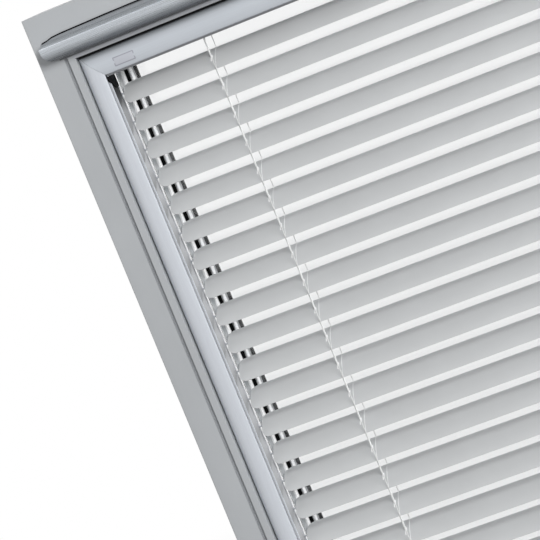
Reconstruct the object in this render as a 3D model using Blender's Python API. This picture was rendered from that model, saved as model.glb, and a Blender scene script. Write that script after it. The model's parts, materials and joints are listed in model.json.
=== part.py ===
"""Roof window sash with a fitted venetian blind, seen from the room.

Metres, +Z up the sash, +X to the right seen from the room, +Y through the glass to the outside.
The origin is the middle of the sash's bottom edge. Depths inside this file are first counted from
the sash's room face, outwards, and depth() turns such a depth into the frame's Y.
"""

from math import atan2, cos, pi, radians, sin, sqrt

import bmesh
import bpy
from mathutils import Vector
from mathutils.geometry import interpolate_bezier

# General clearances
CLEARANCE = 0.0003        # between two pieces that touch on the real product
SHADOW_GAP = 0.0014       # the open joint beside the side rails
TOP_GAP = 0.0024          # and the one over the top casing

# Slats
SLAT_COUNT = 20
SLAT_PITCH = 0.031
SLAT_WIDTH = 0.035
SLAT_THICKNESS = 0.0004
SLAT_CROWN = 0.0022       # how far the middle stands over the edges
SLAT_CORNER = 0.009       # rounding of the four corners, seen from above
SLAT_TILT = radians(33)   # at rest, room edge down, counted from square to the glass
SLAT_END_GAP = 0.003      # slat end to side rail
SLAT_ARC_STEPS = 8
PIN_RADIUS = 0.0009
PIN_LENGTH = 0.0115       # beyond the slat's end
PIN_ROOT = 0.012          # under the slat
PIN_COVER = 0.0006        # slat's underside to the pin's axis
CORD_SLOT_LENGTH = 0.0105
CORD_SLOT_WIDTH = 0.0024
CORD_SLOT_CORNER = 0.0011
STACK_PITCH = 0.005       # from slat to slat when the blind is drawn up

# Cords
LADDER_INSET = 0.104      # ladder to slat end
LADDER_REACH = 0.0010     # ladder string beyond the slat's edge
STRING_RADIUS = 0.00045
LIFT_CORD_RADIUS = 0.0006
LIFT_CORD_OFFSET = 0.0042 # lift cord beyond the ladder, towards the slat's end
CORD_BEND = 0.006         # about the radius of a lift cord's bends in the casing
CORD_RUN = 0.0016         # lift cord over the casing's bottom wall
LEFT_CORD_DEPTH = 0.0090  # of its run along the casing
LEFT_CORD_INSET = 0.0140  # rail's outer edge to the cord inside the rail
RIGHT_CORD_DEPTH = 0.0110
RIGHT_CORD_INSET = 0.0112

# Sash
SASH_WIDTH = 0.700
BAND_WIDTH = 0.030        # flat outer band on the room side
LIP_STRIP = 0.0085        # narrow strip inside the band
GROOVE_WIDTH = 0.0018
GROOVE_DEPTH = 0.0025
BAR_SEAT = 0.017          # extra height of the top member, behind the control bar
LIP_SEAT = 0.0115         # how much lower the lip and the glass lie along the top than along the sides
SLAT_ROOM = 0.0025        # room face to the front of a level slat, and the same behind it
REBATE_LIP = 0.028        # the lip behind the blind, that the glass rests on
REBATE_LIP_DEPTH = 0.010
GLASS_COVER = 0.0055      # how far the outer wall stays under the lip's root
GLASS_EDGE_GAP = 0.002
GLASS_BEAD = 0.0025       # sash behind the outer pane
SASH_EDGE = 0.0015        # bevel on the outer edges
BLIND_DROP = 0.0222       # bottom member to the middle of the bottom bar
PLATE_HEIGHT = 0.150      # recess for a pivot plate, one on each side
PLATE_WIDTH = 0.034
PLATE_RECESS = 0.004

# Glazing
PANE_THICKNESS = 0.004
PANE_SPACING = 0.012
GASKET_THICKNESS = 0.0009
GASKET_SIGHT = 0.0037     # black edge that shows inside the lip
SPACER_SIGHT = 0.0046     # spacer bar that shows inside the lip
SPACER_WIDTH = 0.012
COVER_SIGHT = 0.0080      # outer cover's edge inside the lip
COVER_THICKNESS = 0.0038
COVER_FOOT = 0.0135
COVER_RELIEF = 0.0020

# Side rails and top casing, one family of extrusions
RAIL_WIDTH = 0.0241
RAIL_BEHIND_SLOT = 0.010
RAIL_WALL = 0.0014
INNER_WALL = 0.0012
RAIL_GROOVE = 0.0014      # the slider's track
FACE_SHOULDER = 0.0040    # the face starts this far back at its outer edge
FACE_CREST = -0.0015      # and ends this far proud at its inner one
FACE_BULGE = 0.0035
LIP_FACE = 0.0002
FACE_STEPS = 8
WEB_BEFORE_SLOT = 0.008
FOOT_START = 0.012
PIN_SLOT_WIDTH = 0.0024
CASING_HEIGHT = 0.0278
CASING_GROOVE_DEPTH = 0.0010
CASING_LIP_DEPTH = 0.005
CASING_BACK_GAP = 0.002   # casing to the lip behind it
TOP_SLAT_DROP = 0.0218    # casing's lower edge to the first slat

# Guide shoes
SHOE_GAP = 0.0004         # from shoe to shoe when the blind is drawn up
SHOE_CORNER = 0.002
SHOE_BORE_DEPTH = 0.0078

# Tilt shaft
SHAFT_RADIUS = 0.003
SHAFT_INSET = 0.005       # shaft end to slat end
DRUM_WIDTH = 0.006
DRUM_BEFORE_CORD = 0.0008 # drum's edge beyond the ladder, towards the lift cord
DRUM_ROOM = 0.0013        # drum to the casing's bottom wall
BEARING_INSET = 0.011
BEARING_THICKNESS = 0.002
BEARING_WALL = 0.0021

# Bottom bar
BAR_DEPTH = 0.034
BAR_HEIGHT = 0.012
BAR_WALL = 0.0014
BAR_END_GAP = 0.0015
BAR_FLANGE = 0.006
BAR_ROUND = 0.004
END_PLATE = 0.003
TAB_THICKNESS = 0.0018
TAB_HEIGHT = 0.008
TAB_LENGTH = 0.009

# Control bar along the top of the sash
HANDLE_INSET = 0.0125     # bar's end to the sash's side
HANDLE_HEIGHT = 0.0257
HANDLE_REACH = 0.0225
HANDLE_CREST = 0.0173     # height of the crest line over the bar's lower edge
HANDLE_WALL = 0.0018
HANDLE_TIP = 0.0035
HANDLE_EDGE = 0.0005      # flat along the lower edge
HANDLE_HOLLOW = 0.0020    # how deep the upper face is hollowed
HANDLE_END_ROUND = 0.014
HANDLE_END_TAPER = 0.012
HANDLE_END_SOLID = 0.012
HANDLE_OVERHANG = 0.0048  # of its lower edge over the lip strip
HANDLE_STEPS = 8
HANDLE_ROUND_STEPS = 5

# Control slider on the right rail
SLIDER_DROP = 0.035       # casing's lower edge to the slider's middle
GRIP_HEIGHT = 0.044
GRIP_WIDTH = 0.024
GRIP_OUTER_EDGE = 0.003
GRIP_THICKNESS = 0.0088
GRIP_CORNER = 0.006
GRIP_BEVEL = 0.0015
GRIP_BEVEL_DEPTH = 0.0026
GRIP_CLEAR = 0.0008       # over the crown of the rail's face
RUNNER_WIDTH = 0.0132
RUNNER_HEIGHT = 0.030
RUNNER_DEPTH = 0.008
WHEEL_RADIUS = 0.0080
WHEEL_THICKNESS = 0.006
WHEEL_TEETH = 20
WHEEL_TOOTH = 0.0006
WHEEL_PIN_RADIUS = 0.0015
WHEEL_PIN_LENGTH = 0.0025
WHEEL_LIFT = 0.0105       # wheel's middle before the rail's crown

# Places that follow from the sizes
SLAT_AXIS = SLAT_ROOM + SLAT_WIDTH / 2
REVEAL_DEPTH = 2 * SLAT_AXIS
LIP_BACK = REVEAL_DEPTH + REBATE_LIP_DEPTH
GASKET_FRONT = LIP_BACK + CLEARANCE
PANE_1 = GASKET_FRONT + GASKET_THICKNESS + CLEARANCE
PANE_2 = PANE_1 + PANE_THICKNESS + PANE_SPACING
SASH_DEPTH = PANE_2 + PANE_THICKNESS + GLASS_BEAD
MEMBER = BAND_WIDTH + LIP_STRIP
LIP_EDGE = MEMBER + REBATE_LIP
WALL_INSIDE = MEMBER + GLASS_COVER
GLASS_EDGE = WALL_INSIDE + GLASS_EDGE_GAP

RAIL_OUTER_X = SASH_WIDTH / 2 - MEMBER - SHADOW_GAP
RAIL_INNER_X = RAIL_OUTER_X - RAIL_WIDTH
SLAT_HALF = RAIL_INNER_X - SLAT_END_GAP
LADDER_X = SLAT_HALF - LADDER_INSET
RAIL_BOTTOM = MEMBER + CLEARANCE
BOTTOM_BAR_Z = MEMBER + BLIND_DROP
TOP_SLAT_Z = BOTTOM_BAR_Z + SLAT_COUNT * SLAT_PITCH
CASING_BOTTOM = TOP_SLAT_Z + TOP_SLAT_DROP
CASING_TOP = CASING_BOTTOM + CASING_HEIGHT
TOP_MEMBER_Z = CASING_TOP + TOP_GAP
SASH_HEIGHT = TOP_MEMBER_Z + MEMBER + BAR_SEAT

RAIL_DEPTH = SLAT_AXIS + RAIL_BEHIND_SLOT
WEB_FRONT = SLAT_AXIS - WEB_BEFORE_SLOT
FACE_WIDTH = RAIL_WIDTH - INNER_WALL - RAIL_GROOVE
CASING_DEPTH = REVEAL_DEPTH - CASING_BACK_GAP
FOOT = SHADOW_GAP - CLEARANCE
MITRE_SLOPE = CASING_HEIGHT / RAIL_WIDTH
SHAFT_Z = CASING_TOP - CASING_HEIGHT / 2
DRUM_RADIUS = CASING_HEIGHT / 2 - RAIL_WALL - DRUM_ROOM
PIN_DROP = SLAT_THICKNESS + PIN_COVER   # pin's axis under the top of the crown
SHOE_HEIGHT = STACK_PITCH - SHOE_GAP
SLIDER_Z = CASING_BOTTOM - SLIDER_DROP
HANDLE_Z = TOP_MEMBER_Z + LIP_STRIP - HANDLE_OVERHANG
HANDLE_PIVOT = (-0.0020, 0.0014)     # depth and height over the bar's lower edge


def depth(from_room_face):
    return from_room_face - SASH_DEPTH / 2


def slat_z(number):
    """Height of a slat's axis; slat 1 is the top one."""
    return TOP_SLAT_Z - (number - 1) * SLAT_PITCH


def material(name, colour, roughness, metallic=0.0, alpha=1.0):
    """A Principled material, made once for each name."""
    made = bpy.data.materials.get(name) or bpy.data.materials.new(name)
    made.use_nodes = True
    shader = made.node_tree.nodes["Principled BSDF"]
    shader.inputs["Base Color"].default_value = (*colour, 1.0)
    shader.inputs["Roughness"].default_value = roughness
    shader.inputs["Metallic"].default_value = metallic
    shader.inputs["Alpha"].default_value = alpha
    made.diffuse_color = (*colour, alpha)
    return made


WHITE = ("sash_white", (0.52, 0.54, 0.55), 0.4)
CLEAR = ("clear_glass", (0.92, 0.96, 0.95), 0.02, 0.0, 0.25)
BLACK = ("black_rubber", (0.01, 0.01, 0.01), 0.6)
SPACER_GREY = ("spacer_grey", (0.60, 0.62, 0.63), 0.35, 0.8)
COVER_GREY = ("cover_grey", (0.06, 0.065, 0.07), 0.5, 0.3)
HANDLE_GREY = ("handle_aluminium", (0.46, 0.48, 0.52), 0.3, 0.9)
RAIL_GREY = ("rail_aluminium", (0.60, 0.62, 0.65), 0.35, 0.7)
SLAT_GREY = ("slat_lacquer", (0.56, 0.57, 0.58), 0.35, 0.2)
CORD_WHITE = ("cord_white", (0.75, 0.76, 0.77), 0.8)
PLASTIC_GREY = ("plastic_grey", (0.45, 0.47, 0.50), 0.45)
SHAFT_STEEL = ("shaft_steel", (0.55, 0.55, 0.56), 0.3, 1.0)


def add_object(name, mesh, finish, parent=None, location=(0, 0, 0), tilt=0.0, smooth=30):
    """Puts a mesh in the scene as one named piece."""
    obj = bpy.data.objects.new(name, mesh)
    bpy.context.scene.collection.objects.link(obj)
    if not mesh.materials:
        mesh.materials.append(material(*finish))
    mesh.shade_smooth()
    mesh.set_sharp_from_angle(angle=radians(smooth))
    obj.parent = parent
    obj.location = location
    obj.rotation_euler.x = tilt
    return obj


def add_empty(name, location=(0, 0, 0), parent=None):
    empty = bpy.data.objects.new(name, None)
    bpy.context.scene.collection.objects.link(empty)
    empty.empty_display_size = 0.02
    empty.parent = parent
    empty.location = location
    return empty


def loft(name, *rings, closed=False):
    """A solid through rings of corners, with a flat cap on each end unless the rings close on themselves."""
    form = bmesh.new()
    rows = [[form.verts.new(corner) for corner in ring] for ring in rings]
    spans = list(zip(rows, rows[1:]))
    if closed:
        spans.append((rows[-1], rows[0]))
    else:
        form.faces.new(rows[0][::-1])
        form.faces.new(rows[-1])
    for low, high in spans:
        for i, corner in enumerate(low):
            after = (i + 1) % len(low)
            form.faces.new((corner, low[after], high[after], high[i]))
    if form.calc_volume(signed=True) < 0:
        bmesh.ops.reverse_faces(form, faces=form.faces)
    mesh = bpy.data.meshes.new(name)
    form.to_mesh(mesh)
    form.free()
    return mesh


def box(name, low, high):
    (x0, y0, z0), (x1, y1, z1) = low, high
    corners = ((x0, y0), (x1, y0), (x1, y1), (x0, y1))
    return loft(name, [(x, y, z0) for x, y in corners], [(x, y, z1) for x, y in corners])


def circle(radius, sides, centre=(0.0, 0.0), phase=0.5):
    """Corners of a regular polygon round a centre."""
    turns = [2 * pi * (i + phase) / sides for i in range(sides)]
    return [(centre[0] + radius * cos(t), centre[1] + radius * sin(t)) for t in turns]


def rounded_rectangle(low, high, radius, steps=4):
    """Corners of a rectangle with round corners, anticlockwise from the lower left."""
    (x0, y0), (x1, y1) = low, high
    middles = ((x0 + radius, y0 + radius, 2), (x1 - radius, y0 + radius, 3),
               (x1 - radius, y1 - radius, 0), (x0 + radius, y1 - radius, 1))
    points = []
    for x, y, quarter in middles:
        for i in range(steps + 1):
            turn = pi / 2 * (quarter + i / steps)
            points.append((x + radius * cos(turn), y + radius * sin(turn)))
    return points


def rod(name, radius, x0, x1, sides, centre=(0.0, 0.0)):
    """A round bar along X; centre is its Y and Z."""
    section = circle(radius, sides, centre)
    return loft(name, [(x0, y, z) for y, z in section], [(x1, y, z) for y, z in section])


def bulge(start, end, rise, steps):
    """Points from start to end on a circle's arc, rise off the chord to its left, or right if negative."""
    along = Vector(end) - Vector(start)
    chord = along.length
    radius = (chord * chord / 4 + rise * rise) / (2 * abs(rise))
    half = atan2(chord / 2, radius - abs(rise))
    left = Vector((-along.y, along.x)) / chord * (1 if rise > 0 else -1)
    middle = (Vector(start) + Vector(end)) / 2 + left * (abs(rise) - radius)
    points = []
    for i in range(steps + 1):
        turn = half * (1 - 2 * i / steps)
        point = middle + left * radius * cos(turn) - along / chord * radius * sin(turn)
        points.append((point.x, point.y))
    return points


def combine(obj, other, operation):
    """Adds a Boolean of obj with a helper, which stays out of the render."""
    modifier = obj.modifiers.new(operation.lower(), "BOOLEAN")
    modifier.operation = operation
    modifier.solver = "EXACT"
    modifier.object = other
    other.hide_render = True
    other.display_type = "WIRE"


def helper(name, mesh, parent=None):
    obj = bpy.data.objects.new(name, mesh)
    bpy.context.scene.collection.objects.link(obj)
    obj.parent = parent
    return obj


def evaluated_mesh(obj, name):
    """The mesh with its modifiers applied; the object and its helpers are then removed."""
    graph = bpy.context.evaluated_depsgraph_get()
    mesh = bpy.data.meshes.new_from_object(obj.evaluated_get(graph))
    mesh.name = name
    for modifier in obj.modifiers:
        bpy.data.objects.remove(modifier.object)
    bpy.data.objects.remove(obj)
    return mesh


def ring_loft(name, section, seat_from):
    """Sweeps a section round the sash. A section point is (distance from the edge, depth).

    Along the top, the points further than seat_from from the edge lie lower by the control bar's seat,
    and those past the reveal by the lip's.
    """
    rings = []
    for side, top in ((-1, 0), (1, 0), (1, 1), (-1, 1)):
        ring = []
        for inset, at_depth in section:
            seat = LIP_SEAT if inset > MEMBER else BAR_SEAT if inset > seat_from else 0.0
            z = SASH_HEIGHT - inset - seat if top else inset
            ring.append((side * (SASH_WIDTH / 2 - inset), depth(at_depth), z))
        rings.append(ring)
    return loft(name, *rings, closed=True)


def make_sash():
    groove = BAND_WIDTH - GROOVE_WIDTH
    section = [
        (0, SASH_EDGE), (SASH_EDGE / 3, SASH_EDGE / 3), (SASH_EDGE, 0),
        (groove, 0), (groove, GROOVE_DEPTH), (BAND_WIDTH, GROOVE_DEPTH), (BAND_WIDTH, 0),
        (MEMBER - SASH_EDGE / 2, 0), (MEMBER, SASH_EDGE / 2),
        (MEMBER, REVEAL_DEPTH), (LIP_EDGE - SASH_EDGE, REVEAL_DEPTH),
        (LIP_EDGE, REVEAL_DEPTH + SASH_EDGE), (LIP_EDGE, LIP_BACK),
        (WALL_INSIDE, LIP_BACK), (WALL_INSIDE, SASH_DEPTH),
        (SASH_EDGE, SASH_DEPTH), (0, SASH_DEPTH - SASH_EDGE),
    ]
    sash = add_object("sash_frame", ring_loft("sash_frame", section, BAND_WIDTH - 2 * GROOVE_WIDTH), WHITE)
    for side, label in ((-1, "left"), (1, "right")):
        inner = side * (SASH_WIDTH / 2 - PLATE_RECESS)
        outer = side * (SASH_WIDTH / 2 + PLATE_RECESS)
        low = (min(inner, outer), -PLATE_WIDTH / 2, SASH_HEIGHT / 2 - PLATE_HEIGHT / 2)
        high = (max(inner, outer), PLATE_WIDTH / 2, SASH_HEIGHT / 2 + PLATE_HEIGHT / 2)
        combine(sash, helper(f"plate_recess_{label}", box("plate_recess", low, high)), "DIFFERENCE")


def make_pane(name, front):
    low = (GLASS_EDGE - SASH_WIDTH / 2, depth(front), GLASS_EDGE)
    high = (SASH_WIDTH / 2 - GLASS_EDGE, depth(front + PANE_THICKNESS), SASH_HEIGHT - GLASS_EDGE - LIP_SEAT)
    add_object(name, box(name, low, high), CLEAR)


def make_glazing():
    gasket_edge = LIP_EDGE + GASKET_SIGHT
    gasket_back = GASKET_FRONT + GASKET_THICKNESS
    gasket = [
        (GLASS_EDGE, GASKET_FRONT), (gasket_edge, GASKET_FRONT),
        (gasket_edge, (GASKET_FRONT + gasket_back) / 2), (LIP_EDGE, gasket_back), (GLASS_EDGE, gasket_back),
    ]
    add_object("glazing_gasket", ring_loft("glazing_gasket", gasket, 0.0), BLACK)
    make_pane("glass_inner_pane", PANE_1)
    make_pane("glass_outer_pane", PANE_2)
    spacer_edge = LIP_EDGE + SPACER_SIGHT
    spacer_front = PANE_1 + PANE_THICKNESS + CLEARANCE
    spacer_back = PANE_2 - CLEARANCE
    spacer = [
        (spacer_edge - SPACER_WIDTH, spacer_front), (spacer_edge, spacer_front),
        (spacer_edge, spacer_back), (spacer_edge - SPACER_WIDTH, spacer_back),
    ]
    add_object("glazing_spacer", ring_loft("glazing_spacer", spacer, 0.0), SPACER_GREY)

    cover_edge = LIP_EDGE + COVER_SIGHT
    glass_back = PANE_2 + PANE_THICKNESS + CLEARANCE
    cover_front = SASH_DEPTH + CLEARANCE
    cover_back = cover_front + COVER_THICKNESS
    foot = cover_edge - COVER_FOOT
    cover = [
        (0, cover_front), (foot, cover_front), (foot, glass_back), (cover_edge, glass_back),
        (cover_edge, cover_back - COVER_RELIEF), (foot, cover_back), (COVER_RELIEF, cover_back),
        (0, cover_back - COVER_RELIEF),
    ]
    add_object("outer_glazing_frame", ring_loft("outer_glazing_frame", cover, MEMBER), COVER_GREY)


def face_arc(width, back=0.0):
    """The rounded room face of an extrusion, from its outer to its inner edge. A point is (across, depth)."""
    start, end = (back, FACE_SHOULDER + back), (width, FACE_CREST + back)
    return bulge(start, end, -FACE_BULGE, FACE_STEPS)


def rail_section():
    """The side rail: a face over a front channel for the slider, and a rear one for the guide shoes."""
    wall, inner, back = RAIL_WALL, RAIL_WIDTH - INNER_WALL, RAIL_DEPTH
    slot_low, slot_high = SLAT_AXIS - PIN_SLOT_WIDTH / 2, SLAT_AXIS + PIN_SLOT_WIDTH / 2
    web_back = WEB_FRONT + RAIL_WALL
    outline = face_arc(FACE_WIDTH)[::-1]
    outline += [(0, FOOT_START), (-FOOT, FOOT_START), (-FOOT, back), (RAIL_WIDTH, back)]
    outline += [(RAIL_WIDTH, slot_high), (inner, slot_high), (inner, back - wall), (wall, back - wall)]
    outline += [(wall, web_back), (inner, web_back), (inner, slot_low), (RAIL_WIDTH, slot_low)]
    outline += [(RAIL_WIDTH, LIP_FACE), (inner, LIP_FACE), (inner, WEB_FRONT), (wall, WEB_FRONT)]
    outline += face_arc(FACE_WIDTH, wall)
    return outline


def casing_section():
    """The top casing: the same face, a groove in line with the rails' one, open below for the cords."""
    wall, height, back = RAIL_WALL, CASING_HEIGHT, CASING_DEPTH
    face = height - INNER_WALL - RAIL_GROOVE
    groove_floor = FACE_CREST + CASING_GROOVE_DEPTH
    lip = height - INNER_WALL
    outline = face_arc(face)[::-1]
    outline += [(0, FOOT_START), (-FOOT, FOOT_START), (-FOOT, back), (height, back), (height, back - wall)]
    outline += [(wall, back - wall)]
    outline += face_arc(face - wall, wall)
    outline += [(face - wall, groove_floor + wall), (height - wall, groove_floor + wall)]
    outline += [(height - wall, CASING_LIP_DEPTH), (height, CASING_LIP_DEPTH), (height, LIP_FACE)]
    outline += [(lip, LIP_FACE), (lip, groove_floor), (face, groove_floor)]
    return outline


def make_side_rail(name, side):
    """side is -1 on the left and 1 on the right."""
    low, high = [], []
    for across, at_depth in rail_section():
        x = side * (RAIL_OUTER_X - across)
        low.append((x, depth(at_depth), RAIL_BOTTOM))
        high.append((x, depth(at_depth), CASING_TOP - CLEARANCE / 2 - across * MITRE_SLOPE))
    add_object(name, loft(name, low, high), RAIL_GREY)


def make_top_casing():
    left, right = [], []
    for down, at_depth in casing_section():
        x = RAIL_OUTER_X - CLEARANCE / 2 / MITRE_SLOPE - down / MITRE_SLOPE
        left.append((-x, depth(at_depth), CASING_TOP - down))
        right.append((x, depth(at_depth), CASING_TOP - down))
    casing = add_object("top_casing", loft("top_casing", left, right), RAIL_GREY)
    bore = SHAFT_RADIUS + CLEARANCE
    axis = (depth(SLAT_AXIS), SHAFT_Z)
    for side, label in ((-1, "left"), (1, "right")):
        x = side * (SLAT_HALF - BEARING_INSET)
        half = BEARING_THICKNESS / 2
        low = (x - half, depth(CASING_LIP_DEPTH), SHAFT_Z - bore - BEARING_WALL)
        high = (x + half, depth(CASING_DEPTH - RAIL_WALL / 2), CASING_TOP - RAIL_WALL / 2)
        combine(casing, helper(f"bearing_{label}", box("bearing", low, high)), "UNION")
        hole = rod("bearing_bore", bore, x - BEARING_THICKNESS, x + BEARING_THICKNESS, 16, axis)
        combine(casing, helper(f"bearing_bore_{label}", hole), "DIFFERENCE")


def make_tilt_shaft():
    """Turns the ladders: a round shaft with a drum over each ladder. Its origin is on its axis."""
    end = SLAT_HALF - SHAFT_INSET
    shaft = add_object("tilt_shaft", rod("tilt_shaft", SHAFT_RADIUS, -end, end, 12), SHAFT_STEEL,
                       location=(0, depth(SLAT_AXIS), SHAFT_Z))
    for side, label in ((-1, "left"), (1, "right")):
        outer = side * (LADDER_X + DRUM_BEFORE_CORD)
        inner = outer - side * DRUM_WIDTH
        drum = rod("drum", DRUM_RADIUS, min(inner, outer), max(inner, outer), 24)
        combine(shaft, helper(f"drum_{label}", drum, shaft), "UNION")


def slat_arc_radius():
    return (SLAT_WIDTH ** 2 / 4 + SLAT_CROWN ** 2) / (2 * SLAT_CROWN)


def slat_surface(across, down=0.0):
    """Height over the tilt axis of the slat's top surface, less down along the arc's radius."""
    radius = slat_arc_radius()
    return sqrt((radius - down) ** 2 - across ** 2) - radius + PIN_DROP


def slat_mesh():
    """One slat: a crowned strip with round corners, two cord slots and a pin under each end."""
    half = SLAT_WIDTH / 2
    stops = [half * (2 * i / SLAT_ARC_STEPS - 1) for i in range(SLAT_ARC_STEPS + 1)]
    section = [(y, slat_surface(y)) for y in stops]
    section += [(y, slat_surface(y, SLAT_THICKNESS)) for y in stops[::-1]]
    blank = helper("slat_blank", loft(
        "slat_blank",
        [(-SLAT_HALF, y, z) for y, z in section],
        [(SLAT_HALF, y, z) for y, z in section],
    ))
    reach = 3 * SLAT_CROWN
    plan = rounded_rectangle((-SLAT_HALF, -half), (SLAT_HALF, half), SLAT_CORNER, 5)
    outline = loft("slat_outline", [(x, y, -reach) for x, y in plan], [(x, y, reach) for x, y in plan])
    combine(blank, helper("slat_outline", outline), "INTERSECT")
    for side in (-1, 1):
        x = side * (LADDER_X + LIFT_CORD_OFFSET)
        corner = (CORD_SLOT_WIDTH / 2, CORD_SLOT_LENGTH / 2)
        slot = rounded_rectangle((x - corner[0], -corner[1]), (x + corner[0], corner[1]), CORD_SLOT_CORNER, 2)
        cutter = loft("slot", [(u, v, -reach) for u, v in slot], [(u, v, reach) for u, v in slot])
        combine(blank, helper("cord_slot", cutter), "DIFFERENCE")
        inner, outer = side * (SLAT_HALF - PIN_ROOT), side * (SLAT_HALF + PIN_LENGTH)
        pin = rod("pin", PIN_RADIUS, min(inner, outer), max(inner, outer), 8)
        combine(blank, helper("slat_pin", pin), "UNION")
    return evaluated_mesh(blank, "slat")


def shoe_mesh():
    """A plate that slides in the left rail and carries the slat's pin; its origin is on the pin's axis."""
    near = -(RAIL_INNER_X + INNER_WALL + CLEARANCE)
    far = -(RAIL_OUTER_X - RAIL_WALL - CLEARANCE)
    front = WEB_FRONT + RAIL_WALL + CLEARANCE - SLAT_AXIS
    back = RAIL_BEHIND_SLOT - RAIL_WALL - CLEARANCE
    plan = rounded_rectangle((far, front), (near, back), SHOE_CORNER, 1)
    half = SHOE_HEIGHT / 2
    plate = loft("shoe", [(x, y, -half) for x, y in plan], [(x, y, half) for x, y in plan])
    blank = helper("shoe_blank", plate)
    bore = rod("shoe_bore", PIN_RADIUS + CLEARANCE, near - SHOE_BORE_DEPTH, near + SHOE_CORNER, 8)
    combine(blank, helper("shoe_bore", bore), "DIFFERENCE")
    return evaluated_mesh(blank, "guide_shoe")


def make_slats():
    """Each slat turns on its pins, and its guide shoe carries it up and down the rail."""
    slat, shoe = slat_mesh(), shoe_mesh()
    for number in range(1, SLAT_COUNT + 1):
        place = (0, depth(SLAT_AXIS), slat_z(number))
        guide = add_object(f"guide_shoe_{number:02d}", shoe, PLASTIC_GREY, location=place)
        add_object(f"slat_{number:02d}", slat, SLAT_GREY, parent=guide, tilt=SLAT_TILT)


def make_bottom_bar():
    """A channel that hangs on the lift cords, with end plates whose tabs run in the rails' slots."""
    half, top, wall = BAR_DEPTH / 2, BAR_HEIGHT / 2, BAR_WALL
    outside = rounded_rectangle((-half, -top), (half, top), BAR_ROUND, 3)
    inside = rounded_rectangle((wall - half, wall - top), (half - wall, top - wall), BAR_ROUND - wall, 3)
    end = RAIL_INNER_X - BAR_END_GAP
    hollow_end = end - END_PLATE
    bar = add_object("bottom_bar", loft(
        "bottom_bar", [(-end, y, z) for y, z in outside], [(end, y, z) for y, z in outside],
    ), RAIL_GREY, location=(0, depth(SLAT_AXIS), BOTTOM_BAR_Z))
    hollow = [[(x, y, z) for y, z in inside] for x in (-hollow_end, hollow_end)]
    combine(bar, helper("bar_hollow", loft("bar_hollow", *hollow), bar), "DIFFERENCE")
    mouth = half - BAR_FLANGE
    opening = box("bar_mouth", (-hollow_end, -mouth, -BAR_HEIGHT), (hollow_end, mouth, wall - top + wall))
    combine(bar, helper("bar_mouth", opening, bar), "DIFFERENCE")
    for side, label in ((-1, "left"), (1, "right")):
        inner, outer = side * (end - END_PLATE / 2), side * (end + TAB_LENGTH)
        low = (min(inner, outer), -TAB_THICKNESS / 2, -TAB_HEIGHT / 2)
        high = (max(inner, outer), TAB_THICKNESS / 2, TAB_HEIGHT / 2)
        combine(bar, helper(f"bar_tab_{label}", box("bar_tab", low, high), bar), "UNION")


def tube(name, route, radius, finish, resolution=2):
    """A cord along a list of points."""
    curve = bpy.data.curves.new(name, "CURVE")
    curve.dimensions = "3D"
    curve.bevel_depth = radius
    curve.bevel_resolution = resolution
    curve.use_fill_caps = True
    spline = curve.splines.new("POLY")
    spline.points.add(len(route) - 1)
    for point, place in zip(spline.points, route):
        point.co = (*place, 1.0)
        point.radius = 1.0
    curve.materials.append(material(*finish))
    obj = bpy.data.objects.new(name, curve)
    bpy.context.scene.collection.objects.link(obj)
    return obj


def ladder_point(way):
    """Depth and height, from the slat's axis, where a string holds the slat's edge; way is -1 in front."""
    across, up = way * (SLAT_WIDTH / 2 + LADDER_REACH), slat_surface(SLAT_WIDTH / 2)
    return (across * cos(SLAT_TILT) - up * sin(SLAT_TILT), across * sin(SLAT_TILT) + up * cos(SLAT_TILT))


def make_ladders():
    """Strings before and behind the slats, from the drums to the bottom bar."""
    axis = depth(SLAT_AXIS)
    start = DRUM_RADIUS + CLEARANCE + STRING_RADIUS
    bend = TOP_SLAT_Z + ladder_point(1)[1]
    foot = BOTTOM_BAR_Z + BAR_HEIGHT / 2 + CLEARANCE
    for face, way in (("front", -1), ("back", 1)):
        out = axis + ladder_point(way)[0]
        for label, side in (("left", -1), ("right", 1)):
            x = side * LADDER_X
            route = [(x, axis + way * start, SHAFT_Z), (x, out, bend), (x, out, foot)]
            tube(f"ladder_{face}_{label}", route, STRING_RADIUS, CORD_WHITE)


def smooth_route(knots, steps=4):
    """Points on a smooth curve through the knots, which are places chosen by hand."""
    places = [Vector(knot) for knot in knots]
    slopes = [(after - before) / 2 for before, after in zip(places, places[2:])]
    slopes = [places[1] - places[0], *slopes, places[-1] - places[-2]]
    route = [places[0]]
    for (p0, m0), (p1, m1) in zip(zip(places, slopes), zip(places[1:], slopes[1:])):
        shortest = min(1.0, (p1 - p0).length / max(m0.length, m1.length))
        handles = p0 + m0 * shortest / 3, p1 - m1 * shortest / 3
        route += interpolate_bezier(p0, *handles, p1, steps + 1)[1:]
    return route


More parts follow.
